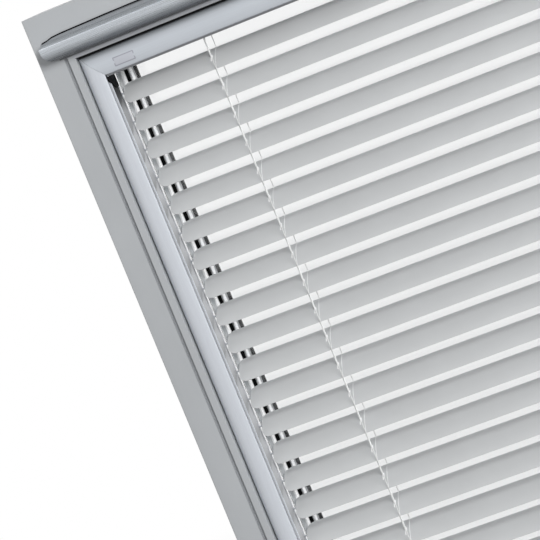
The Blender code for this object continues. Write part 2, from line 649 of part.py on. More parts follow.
def make_lift_cords():
    """From the bottom bar up through the slats, along the casing and down to the slider."""
    axis, bend = depth(SLAT_AXIS), CORD_BEND
    run_z = CASING_BOTTOM + RAIL_WALL + CORD_RUN
    slider_top = SLIDER_Z + RUNNER_HEIGHT / 2 + CLEARANCE
    foot = BOTTOM_BAR_Z + BAR_HEIGHT / 2 + CLEARANCE
    lanes = (
        ("left", -1, LEFT_CORD_DEPTH, LEFT_CORD_INSET),
        ("right", 1, RIGHT_CORD_DEPTH, RIGHT_CORD_INSET),
    )
    for label, side, lane, inset in lanes:
        x = side * (LADDER_X + LIFT_CORD_OFFSET)
        turn = RAIL_OUTER_X - inset
        lane_y = depth(lane)
        knots = [
            (x, axis, foot),
            (x, axis, run_z - 2 * bend),
            (x, axis, run_z - bend),
            (x + bend / 6, axis - bend / 6, run_z - bend / 2),
            (x + bend * 5 / 6, axis - bend * 5 / 6, run_z - bend / 6),
            (x + bend * 11 / 6, lane_y + bend / 8, run_z),
            (x + bend * 17 / 6, lane_y, run_z),
            (RAIL_INNER_X - bend / 3, lane_y, run_z),
            (RAIL_INNER_X + bend * 2 / 3, lane_y, run_z),
            (turn - bend / 4, lane_y - bend / 12, run_z - bend * 5 / 12),
            (turn, lane_y - bend / 6, run_z - bend * 4 / 3),
            (turn, lane_y - bend / 6, slider_top),
        ]
        tube(f"lift_cord_{label}", smooth_route(knots), LIFT_CORD_RADIUS, CORD_WHITE)


def handle_lower_face(shrink):
    """The bar's round lower face from the crest down to the lower edge, moved inwards by shrink."""
    reach = HANDLE_REACH - HANDLE_TIP - shrink
    drop = HANDLE_CREST - HANDLE_EDGE - shrink
    turns = [pi / 2 * i / HANDLE_STEPS for i in range(HANDLE_STEPS + 1)]
    return [(-HANDLE_TIP - reach * cos(t), HANDLE_CREST - drop * sin(t)) for t in turns]


def handle_hollow_face(wall):
    """The bar's hollowed upper face, from its upper edge to the crest, moved inwards by wall."""
    upper, crest = (-HANDLE_TIP, HANDLE_HEIGHT - wall), (wall - HANDLE_REACH, HANDLE_CREST - wall / 4)
    return bulge(upper, crest, HANDLE_HOLLOW, HANDLE_STEPS // 2)


def handle_front_outline():
    """The bar seen from the room: round lower corners, and ends that taper above the crest."""
    half, round_off = SASH_WIDTH / 2 - HANDLE_INSET, HANDLE_END_ROUND
    turns = [pi / 2 * i / HANDLE_ROUND_STEPS for i in range(HANDLE_ROUND_STEPS + 1)]
    shape = [(round_off - half - round_off * cos(t), round_off - round_off * sin(t)) for t in turns[::-1]]
    shape += [(-half, HANDLE_CREST), (HANDLE_END_TAPER - half, HANDLE_HEIGHT + HANDLE_EDGE)]
    return shape + [(-x, z) for x, z in shape[::-1]]


def make_control_bar():
    """A hollow handle with a hollowed upper face and a round lower one; its parent is on its pivot."""
    half = SASH_WIDTH / 2 - HANDLE_INSET
    back, low = HANDLE_PIVOT
    pivot = add_empty("control_bar_pivot", (0, depth(back), HANDLE_Z + low))

    def bar_loft(name, points, end):
        return loft(name, *([(x, at_depth - back, z - low) for at_depth, z in points] for x in (-end, end)))

    outline = handle_hollow_face(0.0) + handle_lower_face(0.0)[1:]
    outline += [(-2 * HANDLE_EDGE, HANDLE_EDGE), (-CLEARANCE, 2 * HANDLE_EDGE), (-CLEARANCE, HANDLE_HEIGHT)]
    bar = add_object("control_bar", bar_loft("control_bar", outline, half), HANDLE_GREY, parent=pivot)
    ends = [[(x, y, z - low) for x, z in handle_front_outline()] for y in (-2 * HANDLE_REACH, HANDLE_REACH)]
    combine(bar, helper("handle_outline", loft("handle_outline", *ends), pivot), "INTERSECT")
    wall = HANDLE_WALL
    cavity = handle_hollow_face(wall) + handle_lower_face(wall)[1:]
    cavity += [(HANDLE_TIP, HANDLE_EDGE + wall), (HANDLE_TIP, HANDLE_HEIGHT - wall)]
    hollow = bar_loft("handle_hollow", cavity, half - HANDLE_END_TAPER - HANDLE_END_SOLID)
    combine(bar, helper("handle_hollow", hollow, pivot), "DIFFERENCE")


def rail_crown():
    """How far the rail's rounded face stands out at its highest."""
    return min(at_depth for across, at_depth in face_arc(FACE_WIDTH))


def grip_plan(inset):
    """The grip seen from the room, from the rail's outer edge inwards."""
    low = (inset - GRIP_OUTER_EDGE - GRIP_WIDTH, inset - GRIP_HEIGHT / 2)
    high = (-GRIP_OUTER_EDGE - inset, GRIP_HEIGHT / 2 - inset)
    return rounded_rectangle(low, high, GRIP_CORNER - inset)


def make_slider():
    """The control on the right rail: a runner in the front channel, a grip over the face, a thumb wheel."""
    front = rail_crown() - GRIP_CLEAR
    back = WEB_FRONT - CLEARANCE
    track_inner, track_outer = CLEARANCE - FACE_WIDTH - RAIL_GROOVE, -FACE_WIDTH - CLEARANCE
    tall = RUNNER_HEIGHT / 2
    base = add_empty("control_slider_path", (RAIL_OUTER_X, depth(0), SLIDER_Z))
    rim = front - GRIP_THICKNESS + GRIP_BEVEL_DEPTH
    levels = ((front, 0.0), (rim, 0.0), (front - GRIP_THICKNESS, GRIP_BEVEL))
    grip = loft("control_slider", *([(x, y, z) for x, z in grip_plan(inset)] for y, inset in levels))
    slider = add_object("control_slider", grip, PLASTIC_GREY, parent=base)
    stem = box("slider_stem", (track_inner, front - GRIP_THICKNESS / 2, -tall), (track_outer, back, tall))
    combine(slider, helper("slider_stem", stem, base), "UNION")
    runner = box("slider_runner", (track_inner, back - RUNNER_DEPTH, -tall),
                 (track_inner + RUNNER_WIDTH, back, tall))
    combine(slider, helper("slider_runner", runner, base), "UNION")
    wheel_x = -GRIP_OUTER_EDGE - GRIP_WIDTH / 2
    wheel_y = rail_crown() - WHEEL_LIFT
    room = WHEEL_RADIUS + WHEEL_TOOTH
    well_half = WHEEL_THICKNESS / 2 + CLEARANCE
    well = box("wheel_well", (wheel_x - well_half, front - 2 * GRIP_THICKNESS, -room),
               (wheel_x + well_half, front + GRIP_CLEAR / 2, room))
    combine(slider, helper("wheel_well", well, base), "DIFFERENCE")
    pin_end = WHEEL_THICKNESS / 2 + WHEEL_PIN_LENGTH
    bore_end = pin_end + CLEARANCE
    bore = rod("wheel_bore", WHEEL_PIN_RADIUS + CLEARANCE, wheel_x - bore_end, wheel_x + bore_end, 12,
               (wheel_y, 0))
    combine(slider, helper("wheel_bore", bore, base), "DIFFERENCE")
    make_tilt_wheel(slider, wheel_x, wheel_y, pin_end)


def make_tilt_wheel(slider, x, y, pin_end):
    """A toothed wheel on a pin, half sunk in the grip."""
    root = WHEEL_RADIUS - WHEEL_TOOTH
    rim = []
    for tooth in range(WHEEL_TEETH):
        for step, radius in ((0.0, WHEEL_RADIUS), (0.35, WHEEL_RADIUS), (0.5, root), (0.85, root)):
            turn = 2 * pi * (tooth + step) / WHEEL_TEETH
            rim.append((radius * cos(turn), radius * sin(turn)))
    half = WHEEL_THICKNESS / 2
    disc = loft("tilt_wheel", [(-half, v, w) for v, w in rim], [(half, v, w) for v, w in rim])
    wheel = add_object("tilt_wheel", disc, PLASTIC_GREY, parent=slider, location=(x, y, 0))
    pin = rod("wheel_pin", WHEEL_PIN_RADIUS, -pin_end, pin_end, 12)
    combine(wheel, helper("wheel_pin", pin, wheel), "UNION")


def main():
    for obj in list(bpy.data.objects):
        bpy.data.objects.remove(obj)
    make_sash()
    make_glazing()
    make_side_rail("side_rail_left", -1)
    make_side_rail("side_rail_right", 1)
    make_top_casing()
    make_tilt_shaft()
    make_slats()
    make_bottom_bar()
    make_ladders()
    make_lift_cords()
    make_control_bar()
    make_slider()


main()
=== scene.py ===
"""Looks of a roof window sash with its venetian blind: finishes, finer forms, strings, light, camera.

Metres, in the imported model's frame: +Z up the sash, +X right seen from the room, +Y to the outside.
"""

import json
from math import atan2, cos, pi, radians, sin, sqrt

import bmesh
import bpy
from mathutils import Matrix, Vector
from mathutils.geometry import interpolate_bezier


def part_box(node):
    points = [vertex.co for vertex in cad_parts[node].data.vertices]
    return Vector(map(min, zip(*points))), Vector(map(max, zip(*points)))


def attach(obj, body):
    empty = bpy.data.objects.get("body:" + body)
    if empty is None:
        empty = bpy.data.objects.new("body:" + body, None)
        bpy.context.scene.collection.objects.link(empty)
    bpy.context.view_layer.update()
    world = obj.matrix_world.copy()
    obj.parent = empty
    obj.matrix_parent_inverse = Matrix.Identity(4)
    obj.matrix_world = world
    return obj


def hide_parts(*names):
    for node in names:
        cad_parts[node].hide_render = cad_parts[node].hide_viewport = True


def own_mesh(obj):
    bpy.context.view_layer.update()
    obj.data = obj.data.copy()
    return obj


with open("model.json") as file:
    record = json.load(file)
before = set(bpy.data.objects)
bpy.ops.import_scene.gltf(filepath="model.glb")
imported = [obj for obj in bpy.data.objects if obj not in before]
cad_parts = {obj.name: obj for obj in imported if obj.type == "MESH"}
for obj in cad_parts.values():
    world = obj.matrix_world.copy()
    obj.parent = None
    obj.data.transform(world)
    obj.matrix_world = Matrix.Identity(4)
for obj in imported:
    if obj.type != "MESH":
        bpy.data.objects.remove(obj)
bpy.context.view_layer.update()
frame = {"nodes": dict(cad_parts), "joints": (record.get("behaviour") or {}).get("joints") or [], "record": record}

# Sizes of the solids that the finer forms follow
CLEARANCE = 0.0003
SHADOW_GAP = 0.0014
TOP_GAP = 0.0024
SLAT_COUNT = 20
SLAT_WIDTH = 0.035
SLAT_THICKNESS = 0.0004
SLAT_CROWN = 0.0022
SLAT_CORNER = 0.009
SLAT_TILT = radians(33)
SLAT_END_GAP = 0.003
SLAT_ROOM = 0.0025
PIN_RADIUS = 0.0009
PIN_LENGTH = 0.0115
PIN_ROOT = 0.012
PIN_DROP = 0.0010  # pin's axis under the top of the crown
CORD_SLOT = (0.0024, 0.0105)
CORD_SLOT_CORNER = 0.0011
LADDER_INSET = 0.104
LADDER_REACH = 0.0010
STRING_RADIUS = 0.00045
LIFT_CORD_OFFSET = 0.0042
CORD_BEND = 0.006
CORD_RUN = 0.0016
CORD_LANES = (("left", -1, 0.0090, 0.0140), ("right", 1, 0.0110, 0.0112))  # depth, inset
BAND_WIDTH = 0.030
LIP_STRIP = 0.0085
GROOVE_WIDTH = 0.0018
GROOVE_DEPTH = 0.0022
BAR_SEAT = 0.017
LIP_SEAT = 0.0115
REBATE_LIP = 0.028
REBATE_LIP_DEPTH = 0.010
GLASS_COVER = 0.0055
GLASS_EDGE_GAP = 0.002
GLASS_BEAD = 0.0025
SASH_EDGE = 0.0015
PLATE_RECESS = (0.004, 0.034, 0.150)
PANE_THICKNESS = 0.004
PANE_SPACING = 0.012
GASKET_THICKNESS = 0.0009
GASKET_SIGHT = 0.0037
SPACER_SIGHT = 0.0046
SPACER_WIDTH = 0.012
COVER_SIGHT = 0.0080
COVER_THICKNESS = 0.0038
COVER_FOOT = 0.0135
COVER_RELIEF = 0.0020
RAIL_WIDTH = 0.0241
RAIL_BEHIND_SLOT = 0.010
RAIL_WALL = 0.0014
INNER_WALL = 0.0012
RAIL_GROOVE = 0.0014
FACE_SHOULDER = 0.0040
FACE_CREST = -0.0015
FACE_BULGE = 0.0035
LIP_FACE = 0.0002
WEB_BEFORE_SLOT = 0.008
FOOT_START = 0.012
PIN_SLOT_WIDTH = 0.0024
CASING_HEIGHT = 0.0278
CASING_GROOVE_DEPTH = 0.0010
CASING_LIP_DEPTH = 0.005
CASING_BACK_GAP = 0.002
SHOE_HEIGHT = 0.0046
SHOE_CORNER = 0.002
BAR_DEPTH = 0.034
BAR_HEIGHT = 0.012
BAR_WALL = 0.0014
BAR_END_GAP = 0.0015
BAR_FLANGE = 0.006
BAR_ROUND = 0.004
END_PLATE = 0.003
TAB = (0.009, 0.0018, 0.008)
HANDLE_INSET = 0.0125
HANDLE_HEIGHT = 0.0257
HANDLE_REACH = 0.0225
HANDLE_CREST = 0.0173
HANDLE_TIP = 0.0035
HANDLE_EDGE = 0.0005
HANDLE_HOLLOW = 0.0020
HANDLE_OVERHANG = 0.0048
GRIP_OUTER_EDGE = 0.003
GRIP_SIZE = (0.024, 0.044)
GRIP_THICKNESS = 0.0088
GRIP_CORNER = 0.006
GRIP_CLEAR = 0.0008
WHEEL_ROOM = 0.0086
WHEEL_SLOT = 0.0066
RUNNER = (0.0132, 0.008, 0.030)

# Finer forms, rounding and fineness
GROOVE_MOUTH = 0.0010
GROOVE_OPEN = 0.0003  # the mouth's extra width on each side
LIP_LINE = 0.0026  # fine groove on the lip, from its edge
LIP_LINE_WIDTH = 0.0005
PANE_ARRIS = 0.0004
TAPE_SIGHT = 0.0049  # grey tape between the outer pane and its cover
FILLER_DEPTH = 0.0004  # strip that closes the left rail's unused track
FILLER_BACK = 0.0042
CORNER_HEIGHT = 0.0140  # dark plates where the casing meets the rails; they also stand in for the shade in that corner
CORNER_THICKNESS = 0.0012
SEAL_FRONT = 0.0009  # black foam in the gap over the casing; it also stands in for the shadow in that gap
SEAL_DROP = 0.0007  # black foam over the casing's top edge, which darkens that edge like shade
SEAL_RIM = 0.0015  # dark seal round the control bar's upper edge, which also stands in for the shadow gap there
SEAL_THICKNESS = 0.0022
LOW_SEAL = (0.0012, 0.0011)  # seal under the control bar, which also stands in for the bar's shadow: depth and drop
SHOULDER_REACH = 0.0028
SHOULDER_FALL = 0.0008
EDGE_SOFT = 0.0008  # round edge of the lip strip
EDGE_ROUND = 0.0003
FINE_ROUND = 0.0002
COVER_ROUND = 0.0006
CORNER_ROUND = 0.0012
SEAL_ROUND = 0.0004
HANDLE_ROUND = 0.0009
HANDLE_ARRIS = 0.0005
PANE_CORNER = 0.002
GASKET_TIP = 0.0004
FACE_SKIN = 0.00002  # what lies deeper isn't the sash's front face
TAIL_HEIGHT = 0.0120  # doubled ends of the strings over the bottom bar
TAIL_RADIUS = 0.00060
THREAD_RADIUS = 0.00025
THREAD_LIFT = THREAD_RADIUS * 1.15
SLAT_EASE = SLAT_THICKNESS * 0.45
PIN_TIP = PIN_RADIUS * 0.35
GRIP_DOME = GRIP_THICKNESS * 0.35
GRIP_FALL = 0.6
LADDER_RADIUS = 0.00040
LIFT_CORD_RADIUS = 0.00085
HANDLE_END_ROUND = 0.0105
HANDLE_END_RISE = ((0.0, 0.0), (0.0, 0.0036), (0.007, 0.0046), (0.0125, 0.0062), (0.022, 0.0069),
                   (0.075, 0.0080), (0.125, 0.0090))  # the upper outline, from the bar's end inwards
FACE_STEPS = 36
ROUND_STEPS = 8
SLAT_STEPS = 20
CORD_SIDES = 10

# Places that follow from the frame
(_, ROOM_FACE, _), (SASH_HALF, _, SASH_HEIGHT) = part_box("sash_frame")
MEMBER = BAND_WIDTH + LIP_STRIP
SLAT_AXIS = SLAT_ROOM + SLAT_WIDTH / 2
REVEAL_DEPTH = 2 * SLAT_AXIS
LIP_BACK = REVEAL_DEPTH + REBATE_LIP_DEPTH
LIP_EDGE = MEMBER + REBATE_LIP
WALL_INSIDE = MEMBER + GLASS_COVER
GLASS_EDGE = WALL_INSIDE + GLASS_EDGE_GAP
GASKET_FRONT = LIP_BACK + CLEARANCE
PANE_1 = GASKET_FRONT + GASKET_THICKNESS + CLEARANCE
PANE_2 = PANE_1 + PANE_THICKNESS + PANE_SPACING
SASH_DEPTH = PANE_2 + PANE_THICKNESS + GLASS_BEAD
RAIL_OUTER_X = SASH_HALF - MEMBER - SHADOW_GAP
RAIL_INNER_X = RAIL_OUTER_X - RAIL_WIDTH
SLAT_HALF = RAIL_INNER_X - SLAT_END_GAP
LADDER_X = SLAT_HALF - LADDER_INSET
CASING_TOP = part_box("top_casing")[1][2]
CASING_BOTTOM = CASING_TOP - CASING_HEIGHT
RAIL_TOP = CASING_TOP - CLEARANCE / 2
STRING_TOP = CASING_BOTTOM + 0.0030
STUB_LOW = CASING_BOTTOM + 0.0015
STUB_BEND = 0.002
FACE_WIDTH = RAIL_WIDTH - INNER_WALL - RAIL_GROOVE
WEB_FRONT = SLAT_AXIS - WEB_BEFORE_SLOT
MITRE_SLOPE = CASING_HEIGHT / RAIL_WIDTH
TOP_MEMBER_Z = CASING_TOP + TOP_GAP
STRIP_HALF = 0.1 * SASH_HALF  # the top member's long faces have their centre in it; they get the painted shadow under the control bar
HANDLE_Z = TOP_MEMBER_Z + LIP_STRIP - HANDLE_OVERHANG
BAR_Z = sum(corner[2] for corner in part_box("bottom_bar")) / 2
SLIDER_Z = sum(corner[2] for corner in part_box("control_slider")) / 2
SIDES = (("left", -1), ("right", 1))
JOINTS = {joint["name"]: joint for joint in frame["joints"]}
SLAT_Z = [JOINTS[f"slat_{n:02d}_tilt"]["pos_m"][2] for n in range(1, SLAT_COUNT + 1)]
SHAFT_Z = JOINTS["shaft_turn"]["pos_m"][2]


def depth(from_room_face):
    return ROOM_FACE + from_room_face


AXIS_Y = depth(SLAT_AXIS)


# Materials
MIDDLE = (0.3, 0.7)  # where a noise mostly stays
STRAND_LEAN = radians(40)
RAIL_SHADE = 0.060  # how far down the rails the casing's painted shade reaches
CASING_SHADE = 0.012  # how far down from the casing's top edge its painted shade reaches


def shader_of(name, colour, roughness, metallic=0.0, **inputs):
    """A new material, its tree and its shader; inputs are the shader's own sockets, _ for spaces."""
    made = bpy.data.materials.new(name)
    made.use_nodes = True
    shader = made.node_tree.nodes["Principled BSDF"]
    shader.inputs["Base Color"].default_value = (*colour, 1.0)
    shader.inputs["Roughness"].default_value = roughness
    shader.inputs["Metallic"].default_value = metallic
    for socket, value in inputs.items():
        shader.inputs[socket.replace("_", " ")].default_value = value
    made.diffuse_color = (*colour, 1.0)
    return made, made.node_tree, shader


def wired(tree, kind, output, sockets=(), **settings):
    """An output of a new node; sockets holds each input's value, or the output that feeds it."""
    made = tree.nodes.new(f"ShaderNode{kind}")
    for name, value in settings.items():
        setattr(made, name, value)
    for socket, value in dict(sockets).items():
        if isinstance(value, bpy.types.NodeSocket):
            tree.links.new(value, made.inputs[socket])
        else:
            made.inputs[socket].default_value = value
    return made.outputs[output]


def own_place(tree):
    """The piece's own coordinates."""
    return wired(tree, "TexCoord", "Object")


def noise(tree, scale, stretch=(1, 1, 1), detail=3.0, roughness=0.55):
    """A noise over the piece's own coordinates, drawn out by stretch."""
    drawn = wired(tree, "Mapping", "Vector", {"Vector": own_place(tree), "Scale": stretch})
    look = {"Vector": drawn, "Scale": scale, "Detail": detail, "Roughness": roughness}
    return wired(tree, "TexNoise", "Fac", look)


def mapped(tree, value, start, end, low=0.0, high=1.0, **settings):
    """A value's share of the way from start to end, laid out from low to high."""
    limits = {"From Min": start, "From Max": end, "To Min": low, "To Max": high}
    return wired(tree, "MapRange", "Result", {"Value": value, **limits}, **settings)


def greater(tree, first, second):
    return wired(tree, "Math", "Value", {0: first, 1: second}, operation="MAXIMUM")


def ramped(tree, value, stops):
    """A colour that a value picks from stops, each a position and a colour."""
    picked = wired(tree, "ValToRGB", "Color", {"Fac": value})
    elements = picked.node.color_ramp.elements
    while len(elements) < len(stops):
        elements.new(0.5)
    for element, (position, colour) in zip(elements, stops):
        element.position = position
        element.color = (*colour, 1.0)
    return picked


def tint(tree, value, shader, colour, dark, light):
    """The colour between two levels, led by a texture."""
    tones = [tuple(channel * level for channel in colour) for level in (dark, light)]
    tree.links.new(ramped(tree, value, list(zip(MIDDLE, tones))), shader.inputs["Base Color"])


def gloss(tree, value, shader, low, high):
    """Roughness between two levels, led by a texture."""
    tree.links.new(mapped(tree, value, *MIDDLE, low, high), shader.inputs["Roughness"])


def bump(tree, shader, *layers):
    """Stacks height textures, each with its depth in metres."""
    under = {}
    for height, distance in layers:
        relief = {"Height": height, "Distance": distance, **under}
        under = {"Normal": wired(tree, "Bump", "Normal", relief)}
    tree.links.new(under["Normal"], shader.inputs["Normal"])


def lacquer(name, colour, roughness, peel=0.00003, **inputs):
    """Satin lacquer: a fine orange peel, a slow change of tone and of gloss."""
    made, tree, shader = shader_of(name, colour, roughness, **inputs)
    tint(tree, noise(tree, 14, detail=4), shader, colour, 0.965, 1.03)
    gloss(tree, noise(tree, 160), shader, roughness - 0.05, roughness + 0.06)
    bump(tree, shader, (noise(tree, 1100, detail=2), peel), (noise(tree, 60), peel * 2))
    return made


def drawn_metal(name, colour, roughness, metallic, along, streak=0.00001, **inputs):
    """Extruded or drawn metal: hair-fine streaks along one axis over a satin grain."""
    made, tree, shader = shader_of(name, colour, roughness, metallic, **inputs)
    stretch = [1.0 if axis == along else 60.0 for axis in "XYZ"]
    streaks = noise(tree, 26, stretch, detail=6, roughness=0.7)
    tint(tree, streaks, shader, colour, 0.955, 1.04)
    gloss(tree, streaks, shader, roughness + 0.06, roughness - 0.05)
    bump(tree, shader, (streaks, streak), (noise(tree, 2600, detail=1), streak * 0.6))
    return made


def toned(made, low, high, *stops, axis="Z"):
    """The finish, its colour times a tone that changes along an axis, from low to high."""
    tree = made.node_tree
    base = tree.nodes["Principled BSDF"].inputs["Base Color"]
    place = wired(tree, "SeparateXYZ", axis, {"Vector": own_place(tree)})
    greys = [(position, (level, level, level)) for position, level in stops]
    tone = ramped(tree, mapped(tree, place, low, high), greys)
    colours = {0: base.links[0].from_socket, 1: tone}
    tree.links.new(wired(tree, "VectorMath", "Vector", colours, operation="MULTIPLY"), base)
    return made


def moulded(name, colour, roughness, grain=0.00003, **inputs):
    """Moulded plastic or rubber with a fine spark-eroded grain."""
    made, tree, shader = shader_of(name, colour, roughness, **inputs)
    tint(tree, noise(tree, 35), shader, colour, 0.95, 1.05)
    grainy = noise(tree, 1900, detail=2)
    gloss(tree, grainy, shader, roughness - 0.06, roughness + 0.06)
    bump(tree, shader, (grainy, grain))
    return made


def braid(name, colour):
    """Braided polyester: two sets of strands that cross, over a fuzz of fibres."""
    made, tree, shader = shader_of(name, colour, 0.85, Sheen_Weight=0.3, Sheen_Roughness=0.5)
    strands = []
    for lean in (STRAND_LEAN, -STRAND_LEAN):
        turned = wired(tree, "Mapping", "Vector", {"Vector": own_place(tree), "Rotation": (0, lean, 0)})
        wave = {"Vector": turned, "Scale": 900, "Distortion": 0.6}
        strands.append(wired(tree, "TexWave", "Fac", wave, bands_direction="Z"))
    crossing = greater(tree, *strands)
    tint(tree, crossing, shader, colour, 0.8, 1.0)
    bump(tree, shader, (crossing, 0.00008))
    return made


def glass(name, colour):
    """Clear float glass with a faint waviness."""
    made, tree, shader = shader_of(
        name, colour, 0.0, Transmission_Weight=1.0, IOR=1.45, Specular_IOR_Level=0.06)
    bump(tree, shader, (noise(tree, 3, detail=1), 0.00002))
    return made


FINISH = {
    "sash_white": lacquer("sash_lacquer", (0.41, 0.425, 0.44), 0.42),
    # the sash's lacquer, darker: the control bar's shadow painted on the strip under it
    "strip_shaded": lacquer("strip_lacquer", (0.40, 0.41, 0.44), 0.42),
    # the sash's lacquer, darker: painted shade in the sash's groove
    "groove_grey": lacquer("groove_lacquer", (0.29, 0.30, 0.315), 0.5, Specular_IOR_Level=0.3),
    # the sash's lacquer, much lighter: painted daylight on the sash's inner lip
    "lip_white": lacquer("lip_lacquer", (0.86, 0.87, 0.87), 0.38),
    "rail_z": drawn_metal("rail_anodised", (0.565, 0.592, 0.635), 0.42, 0.10, "Z"),
    "rail_bright": drawn_metal("rail_polished", (0.95, 0.955, 0.96), 0.16, 1.0, "Z", streak=0.000004),
    "rim_grey": lacquer("casing_rim", (0.17, 0.175, 0.185), 0.45),
    # the rails' inner pile, with painted shade that darkens it to near black under the casing
    "rail_inside": toned(
        moulded("rail_pile", (0.30, 0.305, 0.315), 0.9, Specular_IOR_Level=0.1),
        CASING_BOTTOM - RAIL_SHADE, CASING_BOTTOM, (0.0, 1.0), (0.35, 0.7), (0.65, 0.2), (1.0, 0.02)),
    "black_plastic": moulded("black_plastic", (0.005, 0.005, 0.006), 0.7, Specular_IOR_Level=0.1),
    "tape_grey": moulded("tape_grey", (0.84, 0.85, 0.86), 0.6),
    # anodised casing, with painted shade that darkens its face towards its top edge
    "rail_x": toned(
        drawn_metal("casing_anodised", (0.495, 0.525, 0.565), 0.42, 0.10, "X"),
        CASING_TOP - CASING_SHADE, CASING_TOP, (0.0, 1.0), (0.35, 0.93), (0.5, 0.82), (0.58, 0.69),
        (0.65, 0.57), (0.73, 0.46), (0.81, 0.36), (0.89, 0.29), (1.0, 0.20)),
    # brushed bar, with painted shade up its height: dark at the underside and the top edge, and a painted
    # highlight along the crest
    "bar_x": toned(
        drawn_metal("bar_brushed", (0.84, 0.89, 0.95), 0.28, 0.45, "X", streak=0.000008),
        HANDLE_Z, HANDLE_Z + HANDLE_HEIGHT, (0.0, 0.14), (0.13, 0.26), (0.32, 0.52), (0.48, 0.63),
        (0.61, 0.54), (0.65, 0.46), (0.672, 0.95), (0.69, 0.84), (0.71, 0.56), (0.76, 0.44),
        (0.82, 0.38), (0.93, 0.32), (1.0, 0.08)),
    # slat lacquer, with painted light that makes the rear half lighter towards its edge, against the shade there
    "slat_lacquer": toned(
        lacquer("slat_lacquer", (0.760, 0.776, 0.786), 0.42, peel=0.000006), 0.0, SLAT_WIDTH / 2,
        (0.0, 0.69), (0.35, 0.703), (0.6, 0.731), (0.75, 0.80), (0.86, 0.897), (1.0, 1.0), axis="Y"),
    "black_rubber": moulded("gasket_rubber", (0.004, 0.004, 0.0045), 0.8, Specular_IOR_Level=0.1),
    "spacer_grey": drawn_metal("spacer_aluminium", (0.88, 0.89, 0.90), 0.40, 0.1, "X"),
    "cover_grey": lacquer("cover_lacquer", (0.006, 0.0063, 0.007), 0.55, Specular_IOR_Level=0.06),
    "cord_white": braid("cord_braid", (0.90, 0.91, 0.91)),
    "string_grey": braid("string_braid", (0.80, 0.81, 0.80)),
    "plastic_grey": moulded("plastic_moulded", (0.42, 0.44, 0.47), 0.48),
    "filler_grey": moulded("filler_strip", (0.50, 0.51, 0.54), 0.55),
    "shaft_steel": drawn_metal("shaft_drawn", (0.55, 0.55, 0.56), 0.32, 1.0, "X"),
    "plate": moulded("plate_bare", (0.31, 0.315, 0.36), 0.38, grain=0.000008),
    "plate_field": moulded("plate_field", (0.47, 0.485, 0.53), 0.40, grain=0.000006),
    "clear_glass": glass("pane_glass", (0.945, 0.948, 0.95)),
}


# Shapes

def loft(name, *rings, closed=False):
    """A solid through rings of corners, capped unless the rings close on themselves."""
    form = bmesh.new()
    rows = [[form.verts.new(corner) for corner in ring] for ring in rings]
    spans = list(zip(rows, rows[1:]))
    if closed:
        spans.append((rows[-1], rows[0]))
    else:
        form.faces.new(rows[0][::-1])
        form.faces.new(rows[-1])
    for low, high in spans:
        for i, corner in enumerate(low):
            after = (i + 1) % len(low)
            form.faces.new((corner, low[after], high[after], high[i]))
    if form.calc_volume(signed=True) < 0:
        bmesh.ops.reverse_faces(form, faces=form.faces)
    mesh = bpy.data.meshes.new(name)
    form.to_mesh(mesh)
    form.free()
    return mesh


def prism(name, section, low, high, axis=0):
    """A solid of one section from low to high along axis 0, 1 or 2; the section has the other two."""
    return loft(name, *(
        [(*point[:axis], at, *point[axis:]) for point in section] for at in (low, high)))


def joined(name, *parts):
    """One mesh made of several, which are used up."""
    form = bmesh.new()
    for part in parts:
        form.from_mesh(part)
        bpy.data.meshes.remove(part)
    mesh = bpy.data.meshes.new(name)
    form.to_mesh(mesh)
    form.free()
    return mesh


def box_mesh(name, low, high):
    (x0, y0, z0), (x1, y1, z1) = low, high
    return prism(name, [(x0, y0), (x1, y0), (x1, y1), (x0, y1)], z0, z1, 2)


def arc(centre, radius, start, end, steps=ROUND_STEPS):
    """Points on a circle, from one angle in degrees to another."""
    turns = [radians(start + (end - start) * i / steps) for i in range(steps + 1)]
    return [(centre[0] + radius * cos(t), centre[1] + radius * sin(t)) for t in turns]


def rounded_rectangle(low, high, radius, steps=ROUND_STEPS):
    x0, y0, x1, y1 = low[0] + radius, low[1] + radius, high[0] - radius, high[1] - radius
    corners = (((x0, y0), 180), ((x1, y0), 270), ((x1, y1), 0), ((x0, y1), 90))
    return [point for corner, turn in corners for point in arc(corner, radius, turn, turn + 90, steps)]


def circle(radius):
    """A circle of sixteen corners."""
    return arc((0, 0), radius, 0, 337.5, 15)


def moved(outline, across=0.0, up=0.0):
    return [(u + across, v + up) for u, v in outline]


def mirrored(outline):
    """The outline and its mirror image, the other way round."""
    return outline + [(-u, v) for u, v in outline[::-1]]


def bulge(start, end, rise, steps=FACE_STEPS):
    """Points on an arc that stands rise off its chord, to the left."""
    along = Vector(end) - Vector(start)
    chord = along.length
    radius = (chord * chord / 4 + rise * rise) / (2 * abs(rise))
    half = atan2(chord / 2, radius - abs(rise))
    left = Vector((-along.y, along.x)) / chord * (1 if rise > 0 else -1)
    middle = (Vector(start) + Vector(end)) / 2 + left * (abs(rise) - radius)
    points = []
    for i in range(steps + 1):
        turn = half * (1 - 2 * i / steps)
        point = middle + left * radius * cos(turn) - along / chord * radius * sin(turn)
        points.append((point.x, point.y))
    return points


def eased(outline, radius=EDGE_ROUND, steps=3, sharper_than=28):
    """The closed outline with its sharp corners rounded."""
    points = [Vector(point) for point in outline]
    made = []
    for before, corner, after in zip(points[-1:] + points[:-1], points, points[1:] + points[:1]):
        back, ahead = before - corner, after - corner
        turn = pi - back.angle(ahead)
        if turn < radians(sharper_than):
            made.append(corner)
            continue
        reach = min(radius, back.length * 0.45, ahead.length * 0.45)
        start, end = corner + back.normalized() * reach, corner + ahead.normalized() * reach
        for i in range(steps + 1):
            share = i / steps
            made.append(start.lerp(corner, share).lerp(corner.lerp(end, share), share))
    return [(point.x, point.y) for point in made]


def linked(name, data):
    """A new object in the scene."""
    obj = bpy.data.objects.new(name, data)
    bpy.context.scene.collection.objects.link(obj)
    return obj


